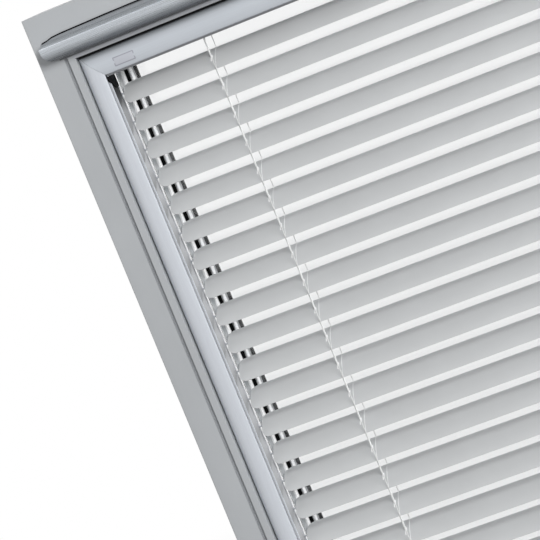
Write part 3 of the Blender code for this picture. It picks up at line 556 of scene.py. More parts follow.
def put(name, mesh, finish, body, replaces=(), slot=None, place=(0, 0, 0), tilt=0.0, smooth=32):
    """A piece with its finish, or with one for each material index, on its body."""
    obj = linked(name, mesh)
    if not mesh.materials:
        for part in finish.split():
            mesh.materials.append(FINISH[part])
        mesh.shade_smooth()
        mesh.set_sharp_from_angle(angle=radians(smooth))
    obj.location = place
    obj.rotation_euler.x = tilt
    bpy.context.view_layer.update()
    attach(obj, body)
    if replaces:
        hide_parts(*replaces)
    return obj


def worked(name, obj, *tools):
    """The object's mesh after its modifiers; the object and its tools go."""
    graph = bpy.context.evaluated_depsgraph_get()
    made = bpy.data.meshes.new_from_object(obj.evaluated_get(graph))
    made.name = name
    for used in (obj, *tools):
        bpy.data.objects.remove(used)
    return made


def carved(name, mesh, *steps):
    """The mesh after Booleans; each step is an operation and another mesh."""
    obj, tools = linked(name, mesh), []
    for operation, other in steps:
        tools.append(linked(other.name, other))
        modifier = obj.modifiers.new(operation.lower(), "BOOLEAN")
        modifier.operation = operation
        modifier.solver = "EXACT"
        modifier.object = tools[-1]
    return worked(name, obj, *tools)


def bevelled(mesh, width, segments=3, angle=40):
    """The mesh with its sharp edges rounded."""
    obj = linked(mesh.name, mesh)
    modifier = obj.modifiers.new("edges", "BEVEL")
    modifier.width = width
    modifier.segments = segments
    modifier.limit_method = "ANGLE"
    modifier.angle_limit = radians(angle)
    return worked(mesh.name, obj)


def painted(mesh, pick):
    """The mesh, each face with the material index that pick gives for its centre."""
    for face in mesh.polygons:
        face.material_index = pick(*face.center)
    return mesh


def tube_mesh(name, route, radius, sides=CORD_SIDES):
    """A round cord along a route."""
    points = [Vector(point) for point in route]
    rings, side = [], None
    for i, point in enumerate(points):
        ahead = (points[min(i + 1, len(points) - 1)] - points[max(i - 1, 0)]).normalized()
        side = ahead.orthogonal() if side is None else side
        side = (side - ahead * side.dot(ahead)).normalized()
        other = ahead.cross(side)
        turns = [2 * pi * k / sides for k in range(sides)]
        rings.append([point + radius * (cos(t) * side + sin(t) * other) for t in turns])
    return loft(name, *rings)


# The sash and its glazing

def seat_of(inset, seat_from):
    """How much lower a ring lies along the top, by the bar's seat and the lip's."""
    return LIP_SEAT if inset > MEMBER + EDGE_ROUND else BAR_SEAT if inset > seat_from else 0.0


def ring_mesh(name, section, seat_from, ease=EDGE_ROUND):
    """Sweeps a section round the sash; its points are insets from the rim and depths."""
    points, rings = eased(section, ease), []
    for side, top in ((-1, 0), (1, 0), (1, 1), (-1, 1)):
        ring = []
        for inset, at_depth in points:
            z = SASH_HEIGHT - inset - seat_of(inset, seat_from) if top else inset
            ring.append((side * (SASH_HALF - inset), depth(at_depth), z))
        rings.append(ring)
    return loft(name, *rings, closed=True)


def inset_at(x, z):
    """How far a place past the seats lies inside the sash's rim."""
    return min(SASH_HALF - abs(x), z, SASH_HEIGHT - LIP_SEAT - z)


def make_sash():
    """The moulded sash, with soft mouths along its groove; painted shade darkens the groove and the strip under
    the control bar, and painted light brightens its inner lip.
    """
    groove, strip = BAND_WIDTH - GROOVE_WIDTH - GROOVE_OPEN, BAND_WIDTH + GROOVE_OPEN
    soft, line, face = GROOVE_MOUTH, LIP_EDGE - LIP_LINE, REVEAL_DEPTH
    line_floor = face + LIP_LINE_WIDTH
    section = arc((SASH_EDGE, SASH_EDGE), SASH_EDGE, 180, 270, 5)
    section += arc((groove - soft, soft), soft, -90, 0, 4)
    section += [(groove, GROOVE_DEPTH), (strip, GROOVE_DEPTH)]
    section += arc((strip + soft, soft), soft, 180, 270, 4)
    section += arc((MEMBER - EDGE_SOFT, EDGE_SOFT), EDGE_SOFT, -90, 0, 4)
    section += [
        (MEMBER, face), (line - LIP_LINE_WIDTH, face), (line - LIP_LINE_WIDTH, line_floor),
        (line, line_floor), (line, face), (LIP_EDGE - SASH_EDGE, face), (LIP_EDGE, face + SASH_EDGE),
        (LIP_EDGE, LIP_BACK), (WALL_INSIDE, LIP_BACK), (WALL_INSIDE, SASH_DEPTH),
        (SASH_EDGE, SASH_DEPTH), (0, SASH_DEPTH - SASH_EDGE),
    ]
    skin = ring_mesh("sash_frame_skin", section, BAND_WIDTH - 2 * GROOVE_WIDTH, FINE_ROUND)
    recess, width, height = PLATE_RECESS
    cuts, middle = [], SASH_HEIGHT / 2
    for side in (-1, 1):
        near, far = sorted((side * (SASH_HALF - recess), side * (SASH_HALF + recess)))
        cuts.append(("DIFFERENCE", box_mesh("recess", (near, -width / 2, middle - height / 2),
                                            (far, width / 2, middle + height / 2))))

    def finish_at(x, y, z):
        band, deep = min(SASH_HALF - abs(x), z), y - ROOM_FACE
        on_lip = inset_at(x, z) > MEMBER + EDGE_ROUND
        # the inner lip gets the painted daylight
        if on_lip and REVEAL_DEPTH - EDGE_ROUND < deep < LIP_BACK + EDGE_ROUND:
            return 1
        # the groove's mouths, walls and floor get the painted shade
        in_mouth = groove - soft < band < BAND_WIDTH + soft and z < HANDLE_Z
        if in_mouth and FACE_SKIN < deep < 2 * GROOVE_DEPTH:
            return 2
        # the strip under the control bar gets the painted shadow
        under_bar = TOP_MEMBER_Z - CLEARANCE < z < HANDLE_Z + HANDLE_HEIGHT and band > MEMBER
        return 3 if under_bar and abs(x) < STRIP_HALF and deep < LIP_STRIP else 0

    put("sash_frame_skin", painted(carved("sash_frame_skin", skin, *cuts), finish_at),
        "sash_white lip_white groove_grey strip_shaded", "root", ["sash_frame"], "sash_white")


def make_glazing():
    edge, front, back = LIP_EDGE + GASKET_SIGHT, GASKET_FRONT, GASKET_FRONT + GASKET_THICKNESS
    gasket = [(GLASS_EDGE, front), (edge, front), (edge, front + GASKET_TIP), (LIP_EDGE, back),
              (GLASS_EDGE, back)]
    gasket = ring_mesh("gasket_lip", gasket, 0.0, FINE_ROUND)
    put("gasket_lip", gasket, "black_rubber", "root", ["glazing_gasket"])
    edge, fold, far = LIP_EDGE + SPACER_SIGHT, SPACER_WIDTH / 10, LIP_EDGE + SPACER_SIGHT - SPACER_WIDTH
    front, back = PANE_1 + PANE_THICKNESS + CLEARANCE, PANE_2 - CLEARANCE
    spacer = [(far, front), (edge - fold, front), (edge, front + fold), (edge, back - fold),
              (edge - fold, back), (far, back)]
    put("spacer_bar", ring_mesh("spacer_bar", spacer, 0.0), "spacer_grey", "root", ["glazing_spacer"])
    edge, tape = LIP_EDGE + COVER_SIGHT, LIP_EDGE + TAPE_SIGHT
    glass_back, front = PANE_2 + PANE_THICKNESS + CLEARANCE, SASH_DEPTH + CLEARANCE
    back, foot = front + COVER_THICKNESS, edge - COVER_FOOT
    cover = [(0, front), (foot, front), (foot, glass_back), (tape, glass_back), (edge, glass_back),
             (edge, back - COVER_RELIEF), (foot, back), (COVER_RELIEF, back), (0, back - COVER_RELIEF)]
    cover = painted(ring_mesh("outer_cover", cover, MEMBER, COVER_ROUND), lambda x, y, z: int(
        inset_at(x, z) < tape and abs(y - depth(glass_back)) < CLEARANCE / 2))
    put("outer_cover", cover, "cover_grey tape_grey", "root", ["outer_glazing_frame"], "cover_grey")
    for kind, front in (("inner", PANE_1), ("outer", PANE_2)):
        rings = []
        for inset, at_depth in ((PANE_ARRIS, 0), (0, PANE_ARRIS), (0, PANE_THICKNESS - PANE_ARRIS),
                                (PANE_ARRIS, PANE_THICKNESS)):
            low, half = GLASS_EDGE + inset, SASH_HALF - GLASS_EDGE - inset
            high = SASH_HEIGHT - GLASS_EDGE - LIP_SEAT - inset
            corners = rounded_rectangle((-half, low), (half, high), PANE_CORNER - inset, 3)
            rings.append([(x, depth(front + at_depth), z) for x, z in corners])
        name = f"pane_{kind}"
        pane = put(name, loft(name, *rings), "clear_glass", "root", [f"glass_{kind}_pane"], smooth=10)
        pane.visible_shadow = False
        pane.visible_diffuse = False


# The blind's frame

def face_arc(width, back=0.0):
    """The curved face, from its shoulder to its crest; the shoulder falls away softly."""
    made = []
    start, end = (back, FACE_SHOULDER + back), (width, FACE_CREST + back)
    for across, at_depth in bulge(start, end, -FACE_BULGE):
        near = max(0.0, 1.0 - (across - back) / SHOULDER_REACH)
        made.append((across, at_depth + SHOULDER_FALL * near * near))
    return made


def rail_section():
    wall, inner, back = RAIL_WALL, RAIL_WIDTH - INNER_WALL, SLAT_AXIS + RAIL_BEHIND_SLOT
    foot = SHADOW_GAP - CLEARANCE
    slot_low, slot_high = SLAT_AXIS - PIN_SLOT_WIDTH / 2, SLAT_AXIS + PIN_SLOT_WIDTH / 2
    web_back = WEB_FRONT + wall
    outline = face_arc(FACE_WIDTH)[::-1]
    outline += [(0, FOOT_START), (-foot, FOOT_START), (-foot, back), (RAIL_WIDTH, back)]
    outline += [(RAIL_WIDTH, slot_high), (inner, slot_high), (inner, back - wall), (wall, back - wall)]
    outline += [(wall, web_back), (inner, web_back), (inner, slot_low), (RAIL_WIDTH, slot_low)]
    outline += [(RAIL_WIDTH, LIP_FACE), (inner, LIP_FACE), (inner, WEB_FRONT), (wall, WEB_FRONT)]
    return eased(outline + face_arc(FACE_WIDTH, wall))


def casing_section():
    wall, height, back = RAIL_WALL, CASING_HEIGHT, REVEAL_DEPTH - CASING_BACK_GAP
    foot, lip = SHADOW_GAP - CLEARANCE, height - INNER_WALL
    face, floor = lip - RAIL_GROOVE, FACE_CREST + CASING_GROOVE_DEPTH
    outline = face_arc(face)[::-1]
    outline += [(0, FOOT_START), (-foot, FOOT_START), (-foot, back), (height, back)]
    outline += [(height, back - wall), (wall, back - wall)] + face_arc(face - wall, wall)
    outline += [(face - wall, floor + wall), (height - wall, floor + wall)]
    outline += [(height - wall, CASING_LIP_DEPTH), (height, CASING_LIP_DEPTH)]
    outline += [(height, LIP_FACE), (lip, LIP_FACE), (lip, floor), (face, floor)]
    return eased(outline)


def make_corner(label, side):
    """A dark plate that joins casing and rail in their corner and also stands in for the shade there; its foot is
    slanted.
    """
    x0, x1 = RAIL_INNER_X - CORNER_THICKNESS, RAIL_INNER_X - CLEARANCE / 3
    top, low, third = CASING_BOTTOM - CLEARANCE / 2, CASING_BOTTOM - CORNER_HEIGHT, CORNER_HEIGHT / 3
    front, back = depth(LIP_FACE + CLEARANCE), depth(SLAT_AXIS - PIN_SLOT_WIDTH / 2)
    slant = [(front, low + third), (front + CORNER_HEIGHT / 2, low)]
    plate = eased([(front, top), *slant, (back, low), (back, top)], CORNER_ROUND, 4)
    plate = bevelled(prism("corner", plate, side * x0, side * x1), FINE_ROUND, 2)
    edge = RAIL_INNER_X + INNER_WALL + RAIL_GROOVE
    flange = eased([(x0, top), (x0, low + third), (edge, top - third), (edge, top)], COVER_ROUND)
    front, back = depth(LIP_FACE - 2 * CLEARANCE), depth(LIP_FACE - CLEARANCE / 3)
    flange = prism("flange", [(side * x, z) for x, z in flange], front, back, 1)
    for kind, mesh in (("plate", plate), ("flange", bevelled(flange, FINE_ROUND / 2, 1))):
        put(f"corner_{kind}_{label}", mesh, "black_plastic", "root", slot="plastic_grey")


def make_rails():
    for label, side in SIDES:
        low, high = [], []
        for across, at_depth in rail_section():
            place = (side * (RAIL_OUTER_X - across), depth(at_depth))
            low.append((*place, MEMBER + CLEARANCE))
            high.append((*place, RAIL_TOP - across * MITRE_SLOPE))

        def finish_at(x, y, z):
            # the inner wall's front part gets the pile with its painted shade
            inside = abs(x) < RAIL_INNER_X + EDGE_ROUND / 2 and y > depth(EDGE_SOFT)
            return 0 if not inside else 2 if y > AXIS_Y else 1

        rail = painted(loft(f"rail_{label}", low, high), finish_at)
        put(f"rail_{label}", rail, "rail_z rail_inside rail_bright", "root", [f"side_rail_{label}"],
            "rail_aluminium")
        make_corner(label, side)


def make_filler():
    """The strip that closes the left rail's unused track."""
    track, half = FACE_WIDTH + RAIL_GROOVE / 2 - RAIL_OUTER_X, RAIL_GROOVE / 2 - FINE_ROUND / 2
    low, high = MEMBER + CLEARANCE, RAIL_TOP - RAIL_WIDTH * MITRE_SLOPE
    section = eased([(track - half, FILLER_DEPTH), (track + half, FILLER_DEPTH),
                     (track + half, FILLER_BACK), (track - half, FILLER_BACK)], FINE_ROUND)
    filler = prism("track_filler", moved(section, 0, ROOM_FACE), low, high, 2)
    put("track_filler", filler, "filler_grey", "root", slot="plastic_grey")


def make_casing():
    ends = [[], []]
    for down, at_depth in casing_section():
        x = RAIL_OUTER_X - (CLEARANCE / 2 + down) / MITRE_SLOPE
        for end, side in zip(ends, (-1, 1)):
            end.append((side * x, depth(at_depth), CASING_TOP - down))
    rim, lip = CASING_BOTTOM + INNER_WALL + RAIL_GROOVE / 2, depth(CASING_LIP_DEPTH)
    casing = painted(loft("casing", *ends), lambda x, y, z: int(z < rim and y < lip))
    # the casing's face carries the painted shade along its top edge
    put("casing", casing, "rail_x rim_grey", "root", ["top_casing"], "rail_aluminium")


def make_foam():
    """Black foam in the gap over the casing and over its top edge, which also stands in for the shadow there."""
    low, base, high = CASING_TOP - SEAL_DROP, CASING_TOP + CLEARANCE / 2, TOP_MEMBER_Z - CLEARANCE / 2
    foot, half = FOOT_START - CLEARANCE, RAIL_OUTER_X - SHADOW_GAP
    section = [(SEAL_FRONT, low), (SEAL_FRONT, high), (foot, high), (foot, base),
               (FACE_SHOULDER, base), (FACE_SHOULDER - EDGE_SOFT, low)]
    foam = prism("gap_foam", moved(eased(section, SEAL_ROUND), ROOM_FACE), -half, half)
    put("gap_foam", foam, "black_rubber", "root")


# The bare plate on the casing
PLATE_X = -0.2627
PLATE_DOWN = 0.0165
PLATE_SIZE = (0.0235, 0.0095)
PLATE_RIM = 0.0011
PLATE_PROUD = 0.00025
FIELD_PROUD = PLATE_PROUD * 1.3
PLATE_SUNK = 0.0002
PLATE_CORNER = 0.0008
PLATE_SHRINK = (1.0, 0.8, 0.6, 0.4, 0.2)


def face_at(down, lift=0.0):
    """Depth of the casing's face at a height under its top, lifted off it."""
    points = face_arc(CASING_HEIGHT - INNER_WALL - RAIL_GROOVE)
    for (u0, d0), (u1, d1) in zip(points, points[1:]):
        if u0 <= down <= u1:
            return d0 + (d1 - d0) * (down - u0) / (u1 - u0) - lift
    return points[-1][1] - lift


def plate_sheet(name, finish, rim, radius, low, high):
    """A thin sheet that follows the casing's curve, between two heights over it."""
    wide, tall = PLATE_SIZE[0] / 2 - rim, PLATE_SIZE[1] / 2 - rim
    rings = []
    for scale, lift in ((1.0, low), *((scale, high) for scale in PLATE_SHRINK)):
        ring = []
        for u, v in rounded_rectangle((-wide, -tall), (wide, tall), radius, 5):
            down = PLATE_DOWN - v * scale
            ring.append((PLATE_X + u * scale, depth(face_at(down, lift)), CASING_TOP - down))
        rings.append(ring)
    put(name, loft(name, *rings), finish, "root", slot="rail_aluminium")


def make_plate():
    plate_sheet("casing_plate", "plate", 0.0, PLATE_CORNER, -PLATE_SUNK, PLATE_PROUD)
    plate_sheet("casing_plate_field", "plate_field", PLATE_RIM, PLATE_CORNER / 2, 0.0, FIELD_PROUD)


# Slats, their threads and guide shoes

def slat_surface(across, down=0.0):
    """Height of the slat's top over its tilt axis, less down along the arc's radius."""
    radius = (SLAT_WIDTH ** 2 / 4 + SLAT_CROWN ** 2) / (2 * SLAT_CROWN)
    return sqrt((radius - down) ** 2 - across ** 2) - radius + PIN_DROP


def slat_mesh():
    half, reach = SLAT_WIDTH / 2, 3 * SLAT_CROWN
    stops = [half * (2 * i / SLAT_STEPS - 1) for i in range(SLAT_STEPS + 1)]
    section = [(y, slat_surface(y)) for y in stops]
    section += [(y, slat_surface(y, SLAT_THICKNESS)) for y in stops[::-1]]
    blank = prism("slat", eased(section, SLAT_EASE, 2), -SLAT_HALF, SLAT_HALF)
    plan = rounded_rectangle((-SLAT_HALF, -half), (SLAT_HALF, half), SLAT_CORNER, 10)
    steps = [("INTERSECT", prism("plan", plan, -reach, reach, 2))]
    wide, long = CORD_SLOT[0] / 2, CORD_SLOT[1] / 2
    for side in (-1, 1):
        x = side * (LADDER_X + LIFT_CORD_OFFSET)
        slot = rounded_rectangle((x - wide, -long), (x + wide, long), CORD_SLOT_CORNER, 5)
        steps.append(("DIFFERENCE", prism("slot", slot, -reach, reach, 2)))
    return carved("slat", blank, *steps)


def pins_mesh():
    """The two pins under a slat's ends, with rounded tips."""
    inner, outer = SLAT_HALF - PIN_ROOT, SLAT_HALF + PIN_LENGTH
    stops = ((inner, PIN_RADIUS), (outer - PIN_TIP, PIN_RADIUS), (outer, PIN_RADIUS - PIN_TIP))
    pins = []
    for side in (-1, 1):
        rings = [[(side * x, y, z) for y, z in circle(radius)] for x, radius in stops]
        pins.append(loft("pin", *rings))
    return joined("slat_pins", *pins)


def ladder_point(way):
    """Depth and height, from the slat's axis, where a string holds its edge; way is -1 in front."""
    across, up = way * (SLAT_WIDTH / 2 + LADDER_REACH), slat_surface(SLAT_WIDTH / 2)
    return across * cos(SLAT_TILT) - up * sin(SLAT_TILT), across * sin(SLAT_TILT) + up * cos(SLAT_TILT)


def threads_mesh():
    """For each ladder, one thread over the slat and one under it, from string to string."""
    half, reach, edge = SLAT_WIDTH / 2, SLAT_WIDTH / 2 + LADDER_REACH, slat_surface(SLAT_WIDTH / 2)
    under = edge - SLAT_THICKNESS - THREAD_LIFT
    strands = []
    for side in (-1, 1):
        x = side * LADDER_X
        ends = (x, -reach, edge), (x, reach, edge)
        stops = [half * (i / 6 - 1) for i in range(13)]
        crest = [(x, y, slat_surface(y) + THREAD_LIFT) for y in stops]
        for middle in (crest, [(x, -half, under), (x, half, under)]):
            strands.append(tube_mesh("thread", [ends[0], *middle, ends[1]], THREAD_RADIUS, 6))
    return joined("slat_threads", *strands)


def shoe_mesh():
    """The right-hand guide shoe; its origin is on the pin's axis."""
    near, far = RAIL_INNER_X + INNER_WALL + CLEARANCE, RAIL_OUTER_X - RAIL_WALL - CLEARANCE
    front = WEB_FRONT + RAIL_WALL + CLEARANCE - SLAT_AXIS
    back = RAIL_BEHIND_SLOT - RAIL_WALL - CLEARANCE
    plan = rounded_rectangle((near, front), (far, back), SHOE_CORNER, 5)
    plate = prism("shoe", plan, -SHOE_HEIGHT / 2, SHOE_HEIGHT / 2, 2)
    end = near + PIN_LENGTH - INNER_WALL
    bore = prism("bore", circle(PIN_RADIUS + CLEARANCE), near - SHOE_CORNER, end)
    return bevelled(carved("shoe", plate, ("DIFFERENCE", bore)), EDGE_ROUND, 2)


def make_slats():
    slat, pins, threads, shoe = slat_mesh(), pins_mesh(), threads_mesh(), shoe_mesh()
    for number, z in enumerate(SLAT_Z, 1):
        node = f"slat_{number:02d}"
        held = {"place": (0, AXIS_Y, z)}
        # the slats carry painted light along their rear edges
        put(f"{node}_strip", slat, "slat_lacquer", node, [node], **held, tilt=SLAT_TILT)
        put(f"{node}_pins", pins, "plastic_grey", node, **held, tilt=SLAT_TILT)
        put(f"{node}_threads", threads, "cord_white", node, **held, tilt=SLAT_TILT)
        carrier = "root" if number == 1 else f"guide_shoe_{number:02d}"
        put(f"shoe_right_{number:02d}", shoe, "plastic_grey", carrier, **held)


# Bottom bar

def make_bottom_bar():
    half, top, wall, r = BAR_DEPTH / 2, BAR_HEIGHT / 2, BAR_WALL, BAR_ROUND
    mouth, inside = half - BAR_FLANGE, BAR_ROUND - BAR_WALL
    outer = arc((half - r, top - r), r, 90, 0) + arc((half - r, r - top), r, 0, -90) + [(mouth, -top)]
    outer = [(-u, v) for u, v in outer[::-1]] + outer
    inner = [(mouth, wall - top)] + arc((half - r, r - top), inside, -90, 0)
    inner = mirrored(inner + arc((half - r, top - r), inside, 0, 90))
    end = RAIL_INNER_X - BAR_END_GAP
    stop, place = end - END_PLATE, (0, AXIS_Y, BAR_Z)
    channel = prism("bar_channel", eased(outer + inner), -stop, stop)
    put("bar_channel", channel, "rail_x", "bottom_bar", ["bottom_bar"], "rail_aluminium", place)
    plate = eased(rounded_rectangle((-half, -top), (half, top), r), EDGE_ROUND)
    length, thick, height = TAB
    for label, side in SIDES:
        cap = prism("cap", plate, *sorted((side * stop, side * end)))
        near, far = sorted((side * (end - END_PLATE / 2), side * (end + length)))
        tab = box_mesh("tab", (near, -thick / 2, -height / 2), (far, thick / 2, height / 2))
        cap = bevelled(carved("bar_cap", cap, ("UNION", tab)), EDGE_ROUND, 2)
        put(f"bar_cap_{label}", cap, "plastic_grey", "bottom_bar", place=place)


# Strings and cords

def straight(x, y, low, high, steps=24):
    return [(x, y, low + (high - low) * i / steps) for i in range(steps + 1)]


def cord(name, route, radius, finish, body, replaces=()):
    """A string or cord along a route."""
    return put(name, tube_mesh(name, route, radius), finish, body, replaces, "cord_white")


def make_ladders():
    """Each string follows its slat edges; the part under slat 1 gets a mesh of its own."""
    bar_top = BAR_Z + BAR_HEIGHT / 2
    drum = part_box("tilt_shaft")[1][2] - SHAFT_Z
    for face, way in (("front", -1), ("back", 1)):
        out, up = ladder_point(way)
        y, hold = AXIS_Y + out, SLAT_Z[0] + up
        low = bar_top + CLEARANCE
        tangent = AXIS_Y + way * (drum + CLEARANCE + STRING_RADIUS)
        for label, side in SIDES:
            x, name, body = side * LADDER_X, f"ladder_{face}_{label}", f"{face}_ladders"
            route, top = straight(x, y, low, hold), straight(x, y, hold, STRING_TOP, 2)
            string = cord(f"{name}_string", route, LADDER_RADIUS, "string_grey", body, [name])
            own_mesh(string)
            cord(f"{name}_top", top, LADDER_RADIUS, "string_grey", body)
            stub = [(x, y, STUB_LOW), (x, tangent, SHAFT_Z - STUB_BEND), (x, tangent, SHAFT_Z)]
            cord(f"{name}_stub", stub, LADDER_RADIUS, "string_grey", "root")
            tail = straight(x, y, bar_top - BAR_WALL, low + TAIL_HEIGHT, 4)
            cord(f"{name}_tail", tail, TAIL_RADIUS, "cord_white", "bottom_bar")


def smooth_route(knots, steps=6):
    """Points on a smooth curve through given knots."""
    places = [Vector(knot) for knot in knots]
    slopes = [(after - before) / 2 for before, after in zip(places, places[2:])]
    slopes = [places[1] - places[0], *slopes, places[-1] - places[-2]]
    route = [places[0]]
    for p0, m0, p1, m1 in zip(places, slopes, places[1:], slopes[1:]):
        share = min(1.0, (p1 - p0).length / max(m0.length, m1.length))
        route += interpolate_bezier(p0, p0 + m0 * share / 3, p1 - m1 * share / 3, p1, steps + 1)[1:]
    return route


def make_lift_cords():
    """Up through the slats, along the casing and down the right rail to the slider."""
    bend = CORD_BEND
    run_z = CASING_BOTTOM + RAIL_WALL + CORD_RUN
    top = run_z - 2 * bend
    foot = BAR_Z + BAR_HEIGHT / 2 + CLEARANCE
    slider_top = SLIDER_Z + RUNNER[2] / 2 + CLEARANCE
    for label, side, lane, inset in CORD_LANES:
        x, turn, y = side * (LADDER_X + LIFT_CORD_OFFSET), RAIL_OUTER_X - inset, depth(lane)
        route, node = straight(x, AXIS_Y, foot, top), f"lift_cord_{label}"
        rise = cord(f"cord_rise_{label}", route, LIFT_CORD_RADIUS, "cord_white", "root", [node])
        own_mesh(rise)
        knots = [
            (x, AXIS_Y, top), (x, AXIS_Y, run_z - bend),
            (x + bend / 6, AXIS_Y - bend / 6, run_z - bend / 2),
            (x + bend * 5 / 6, AXIS_Y - bend * 5 / 6, run_z - bend / 6),
            (x + bend * 11 / 6, y + bend / 8, run_z), (x + bend * 17 / 6, y, run_z),
            (RAIL_INNER_X - bend / 3, y, run_z), (RAIL_INNER_X + bend * 2 / 3, y, run_z),
            (turn - bend / 4, y - bend / 12, run_z - bend * 5 / 12),
            (turn, y - bend / 6, run_z - bend * 4 / 3), (turn, y - bend / 6, slider_top),
        ]
        cord(f"cord_run_{label}", smooth_route(knots), LIFT_CORD_RADIUS, "cord_white", "root")


# Control bar and slider

def handle_outline():
    """The bar's section, as depth and height over its lower edge."""
    reach, drop = HANDLE_REACH - HANDLE_TIP, HANDLE_CREST - HANDLE_EDGE
    turns = [pi / 2 * i / FACE_STEPS for i in range(1, FACE_STEPS + 1)]
    outline = bulge((-HANDLE_TIP, HANDLE_HEIGHT), (-HANDLE_REACH, HANDLE_CREST), HANDLE_HOLLOW, 14)
    outline += [(-HANDLE_TIP - reach * cos(t), HANDLE_CREST - drop * sin(t)) for t in turns]
    outline += [(-2 * HANDLE_EDGE, HANDLE_EDGE), (-CLEARANCE, 2 * HANDLE_EDGE)]
    return eased([*outline, (-CLEARANCE, HANDLE_HEIGHT)], HANDLE_ROUND, 6)


def make_control_bar():
    half, r, rim = SASH_HALF - HANDLE_INSET, HANDLE_END_ROUND, SEAL_RIM
    solid = prism("bar", moved(handle_outline(), ROOM_FACE, HANDLE_Z), -half, half)
    shape = arc((r - half, r), r, 270, 180, 12) + moved(HANDLE_END_RISE, -half, HANDLE_CREST)
    shape = moved(mirrored(shape), 0, HANDLE_Z)
    plan = prism("plan", shape, depth(-2 * HANDLE_REACH), depth(HANDLE_REACH), 1)
    skin = bevelled(carved("control_bar_skin", solid, ("INTERSECT", plan)), HANDLE_ARRIS, 3, 45)
    # the bar's skin carries painted shade and a painted highlight along its height
    put("control_bar_skin", skin, "bar_x", "control_bar", ["control_bar"], "handle_aluminium")
    end = half + rim / 2
    shape = [(-end, HANDLE_CREST / 2)] + moved(HANDLE_END_RISE[1:-1], -end, HANDLE_CREST + rim)
    shape = mirrored(shape + [(HANDLE_END_RISE[-1][0] - end, HANDLE_HEIGHT + rim)])
    back = depth(-CLEARANCE)
    # a dark seal round the bar's upper edge, in place of the shadow gap there
    seal = prism("bar_seal", moved(shape, 0, HANDLE_Z), back - SEAL_THICKNESS, back, 1)
    seal = bevelled(seal, EDGE_ROUND, 2)
    put("bar_seal", seal, "black_plastic", "control_bar", slot="handle_aluminium")
    # a dark grey seal under the bar's lower edge, in place of the bar's shadow there
    (front, low), high = LOW_SEAL, 2 * HANDLE_EDGE
    foot = [(-front, -low), (-front, high), (-CLEARANCE, high), (-CLEARANCE, -low)]
    foot = moved(eased(foot, HANDLE_ARRIS), ROOM_FACE, HANDLE_Z)
    foot = prism("bar_foot_seal", foot, r - half, half - r)
    put("bar_foot_seal", foot, "rim_grey", "control_bar", slot="handle_aluminium")


def make_slider():
    """The grip over the rail's face, with its runner in the rail."""
    front = min(at_depth for across, at_depth in face_arc(FACE_WIDTH)) - GRIP_CLEAR
    width, height = GRIP_SIZE
    edge = RAIL_OUTER_X - GRIP_OUTER_EDGE
    levels = [(front, 0.0)]
    for turn in range(0, 91, 15):
        rise, inset = GRIP_DOME * sin(radians(turn)), GRIP_DOME * (1 - cos(radians(turn))) * GRIP_FALL
        levels.append((front - GRIP_THICKNESS + GRIP_DOME - rise, inset))
    rings = []
    for y, inset in levels:
        low = (edge - width + inset, SLIDER_Z - height / 2 + inset)
        high = (edge - inset, SLIDER_Z + height / 2 - inset)
        rings.append([(x, depth(y), z) for x, z in rounded_rectangle(low, high, GRIP_CORNER - inset)])
    middle, wheel = edge - width / 2, WHEEL_SLOT / 2
    inner, web = RAIL_OUTER_X + CLEARANCE - FACE_WIDTH - RAIL_GROOVE, depth(WEB_FRONT - CLEARANCE)
    well = box_mesh("well", (middle - wheel, depth(front - 2 * GRIP_THICKNESS), SLIDER_Z - WHEEL_ROOM),
                    (middle + wheel, depth(front + GRIP_CLEAR / 2), SLIDER_Z + WHEEL_ROOM))
    wide, deep, tall = RUNNER
    low, high = SLIDER_Z - tall / 2, SLIDER_Z + tall / 2
    stem = box_mesh("stem", (inner, depth(front - GRIP_THICKNESS / 2), low),
                    (RAIL_OUTER_X - FACE_WIDTH - CLEARANCE, web, high))
    runner = box_mesh("runner", (inner, web - deep, low), (inner + wide, web, high))
    grip = carved("slider_grip", loft("slider_grip", *rings),
                  ("UNION", stem), ("UNION", runner), ("DIFFERENCE", well))
    put("slider_grip", grip, "plastic_grey", "control_slider", ["control_slider"])


def finish_nodes():
    """The CAD nodes that stay get their finish."""
    slots = {part["node"]: part["material_slot"] for part in frame["record"]["subparts"]}
    for name, node in frame["nodes"].items():
        if not node.hide_render:
            node.data.materials.clear()
            node.data.materials.append(FINISH[slots[name]])


# Light, floor and camera
AMBIENT = (0.12, 0.44)  # from below and from above
LAMPS = (("key", (3.6, -4.7, 2.7), 2.9, 358.0), ("fill", (-2.6, -2.2, 0.9), 2.4, 20.0),
         ("outside", (5.0, 2.6, 1.2), 2.4, 340.0))  # name, place, size in metres, watts
FLOOR_PLACE = (0, 0, -0.0005)
FLOOR_RADIUS = 5.0
FLOOR_FADE = (0.45, 1.5)  # distances between which the floor turns white
CAMERA_PLACE = (0.7687, -3.5119, 0.8351)
CAMERA_TURNS = (("Z", 15.67), ("X", 90 - 5.94), ("Z", -22.38))  # yaw, pitch and roll, in degrees
FOCAL_PIXELS = 3561.6
IMAGE_PIXELS = 540
SENSOR = 36.0
CAMERA_REACH = 100.0


def seen_share(tree):
    """1 for a ray from the camera, and for one that glass or a gloss sends on."""
    found = wired(tree, "LightPath", "Is Camera Ray")
    rays = found.node.outputs
    for kind in ("Transmission", "Glossy"):
        found = greater(tree, found, rays[f"Is {kind} Ray"])
    return found


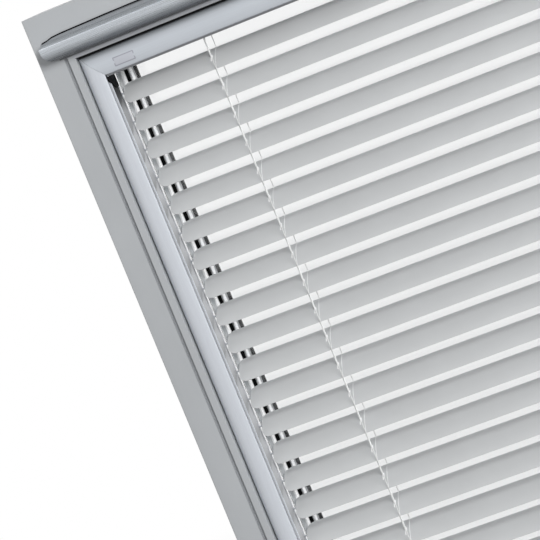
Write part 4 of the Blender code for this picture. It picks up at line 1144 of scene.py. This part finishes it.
def make_floor():
    """A pale floor that is the background's white away from the object, and behind glass."""
    bpy.ops.mesh.primitive_circle_add(
        vertices=96, radius=FLOOR_RADIUS, fill_type="NGON", location=FLOOR_PLACE)
    floor = bpy.context.object
    floor.name = "floor"
    made, tree, shader = shader_of("floor", (0.86, 0.86, 0.86), 0.9)
    away = wired(tree, "VectorMath", "Value", {0: own_place(tree)}, operation="LENGTH")
    fade = mapped(tree, away, *FLOOR_FADE, interpolation_type="SMOOTHSTEP")
    share = wired(tree, "Math", "Value", {0: fade, 1: seen_share(tree)}, operation="MULTIPLY")
    share = greater(tree, share, wired(tree, "LightPath", "Is Transmission Ray"))
    white = wired(tree, "Emission", "Emission")
    mix = wired(tree, "MixShader", "Shader", {"Fac": share, 1: shader.outputs["BSDF"], 2: white})
    tree.links.new(mix, tree.nodes["Material Output"].inputs["Surface"])
    floor.data.materials.append(made)
    floor.visible_diffuse = False


def make_world():
    """White where it is seen, mirrored or behind glass; it lights softly, and more from above."""
    world = bpy.data.worlds.new("surroundings")
    bpy.context.scene.world = world
    world.use_nodes = True
    tree = world.node_tree
    background = tree.nodes["Background"]
    background.inputs["Color"].default_value = (1.0, 1.0, 1.0, 1.0)
    up = wired(tree, "SeparateXYZ", "Z", {"Vector": wired(tree, "TexCoord", "Generated")})
    light = mapped(tree, up, -1.0, 1.0, *AMBIENT)
    level = mapped(tree, seen_share(tree), 0.0, 1.0, light, 1.0)
    tree.links.new(level, background.inputs["Strength"])


def make_light(name, place, size, power):
    lamp = bpy.data.lights.new(name, "AREA")
    lamp.shape = "SQUARE"
    lamp.size = size
    lamp.energy = power
    obj = linked(name, lamp)
    obj.location = place
    aim = Vector((0, 0, SASH_HEIGHT / 2)) - obj.location
    obj.rotation_euler = aim.to_track_quat("-Z", "Y").to_euler()
    obj.visible_camera = False
    obj.visible_transmission = False
    obj.visible_glossy = name != "outside"


def make_camera():
    camera = bpy.data.cameras.new("camera")
    camera.sensor_width = SENSOR
    camera.lens = SENSOR * FOCAL_PIXELS / IMAGE_PIXELS
    camera.clip_end = CAMERA_REACH
    obj = linked("camera", camera)
    turn = Matrix.Identity(4)
    for axis, degrees in CAMERA_TURNS:
        turn = turn @ Matrix.Rotation(radians(degrees), 4, axis)
    obj.matrix_world = Matrix.Translation(CAMERA_PLACE) @ turn
    bpy.context.scene.camera = obj


make_sash()
make_glazing()
make_rails()
make_filler()
make_casing()
make_foam()
make_plate()
make_slats()
make_bottom_bar()
make_ladders()
make_lift_cords()
make_control_bar()
make_slider()
finish_nodes()
make_floor()
make_world()
for lamp in LAMPS:
    make_light(*lamp)
make_camera()
bpy.context.scene.view_settings.view_transform = "Standard"
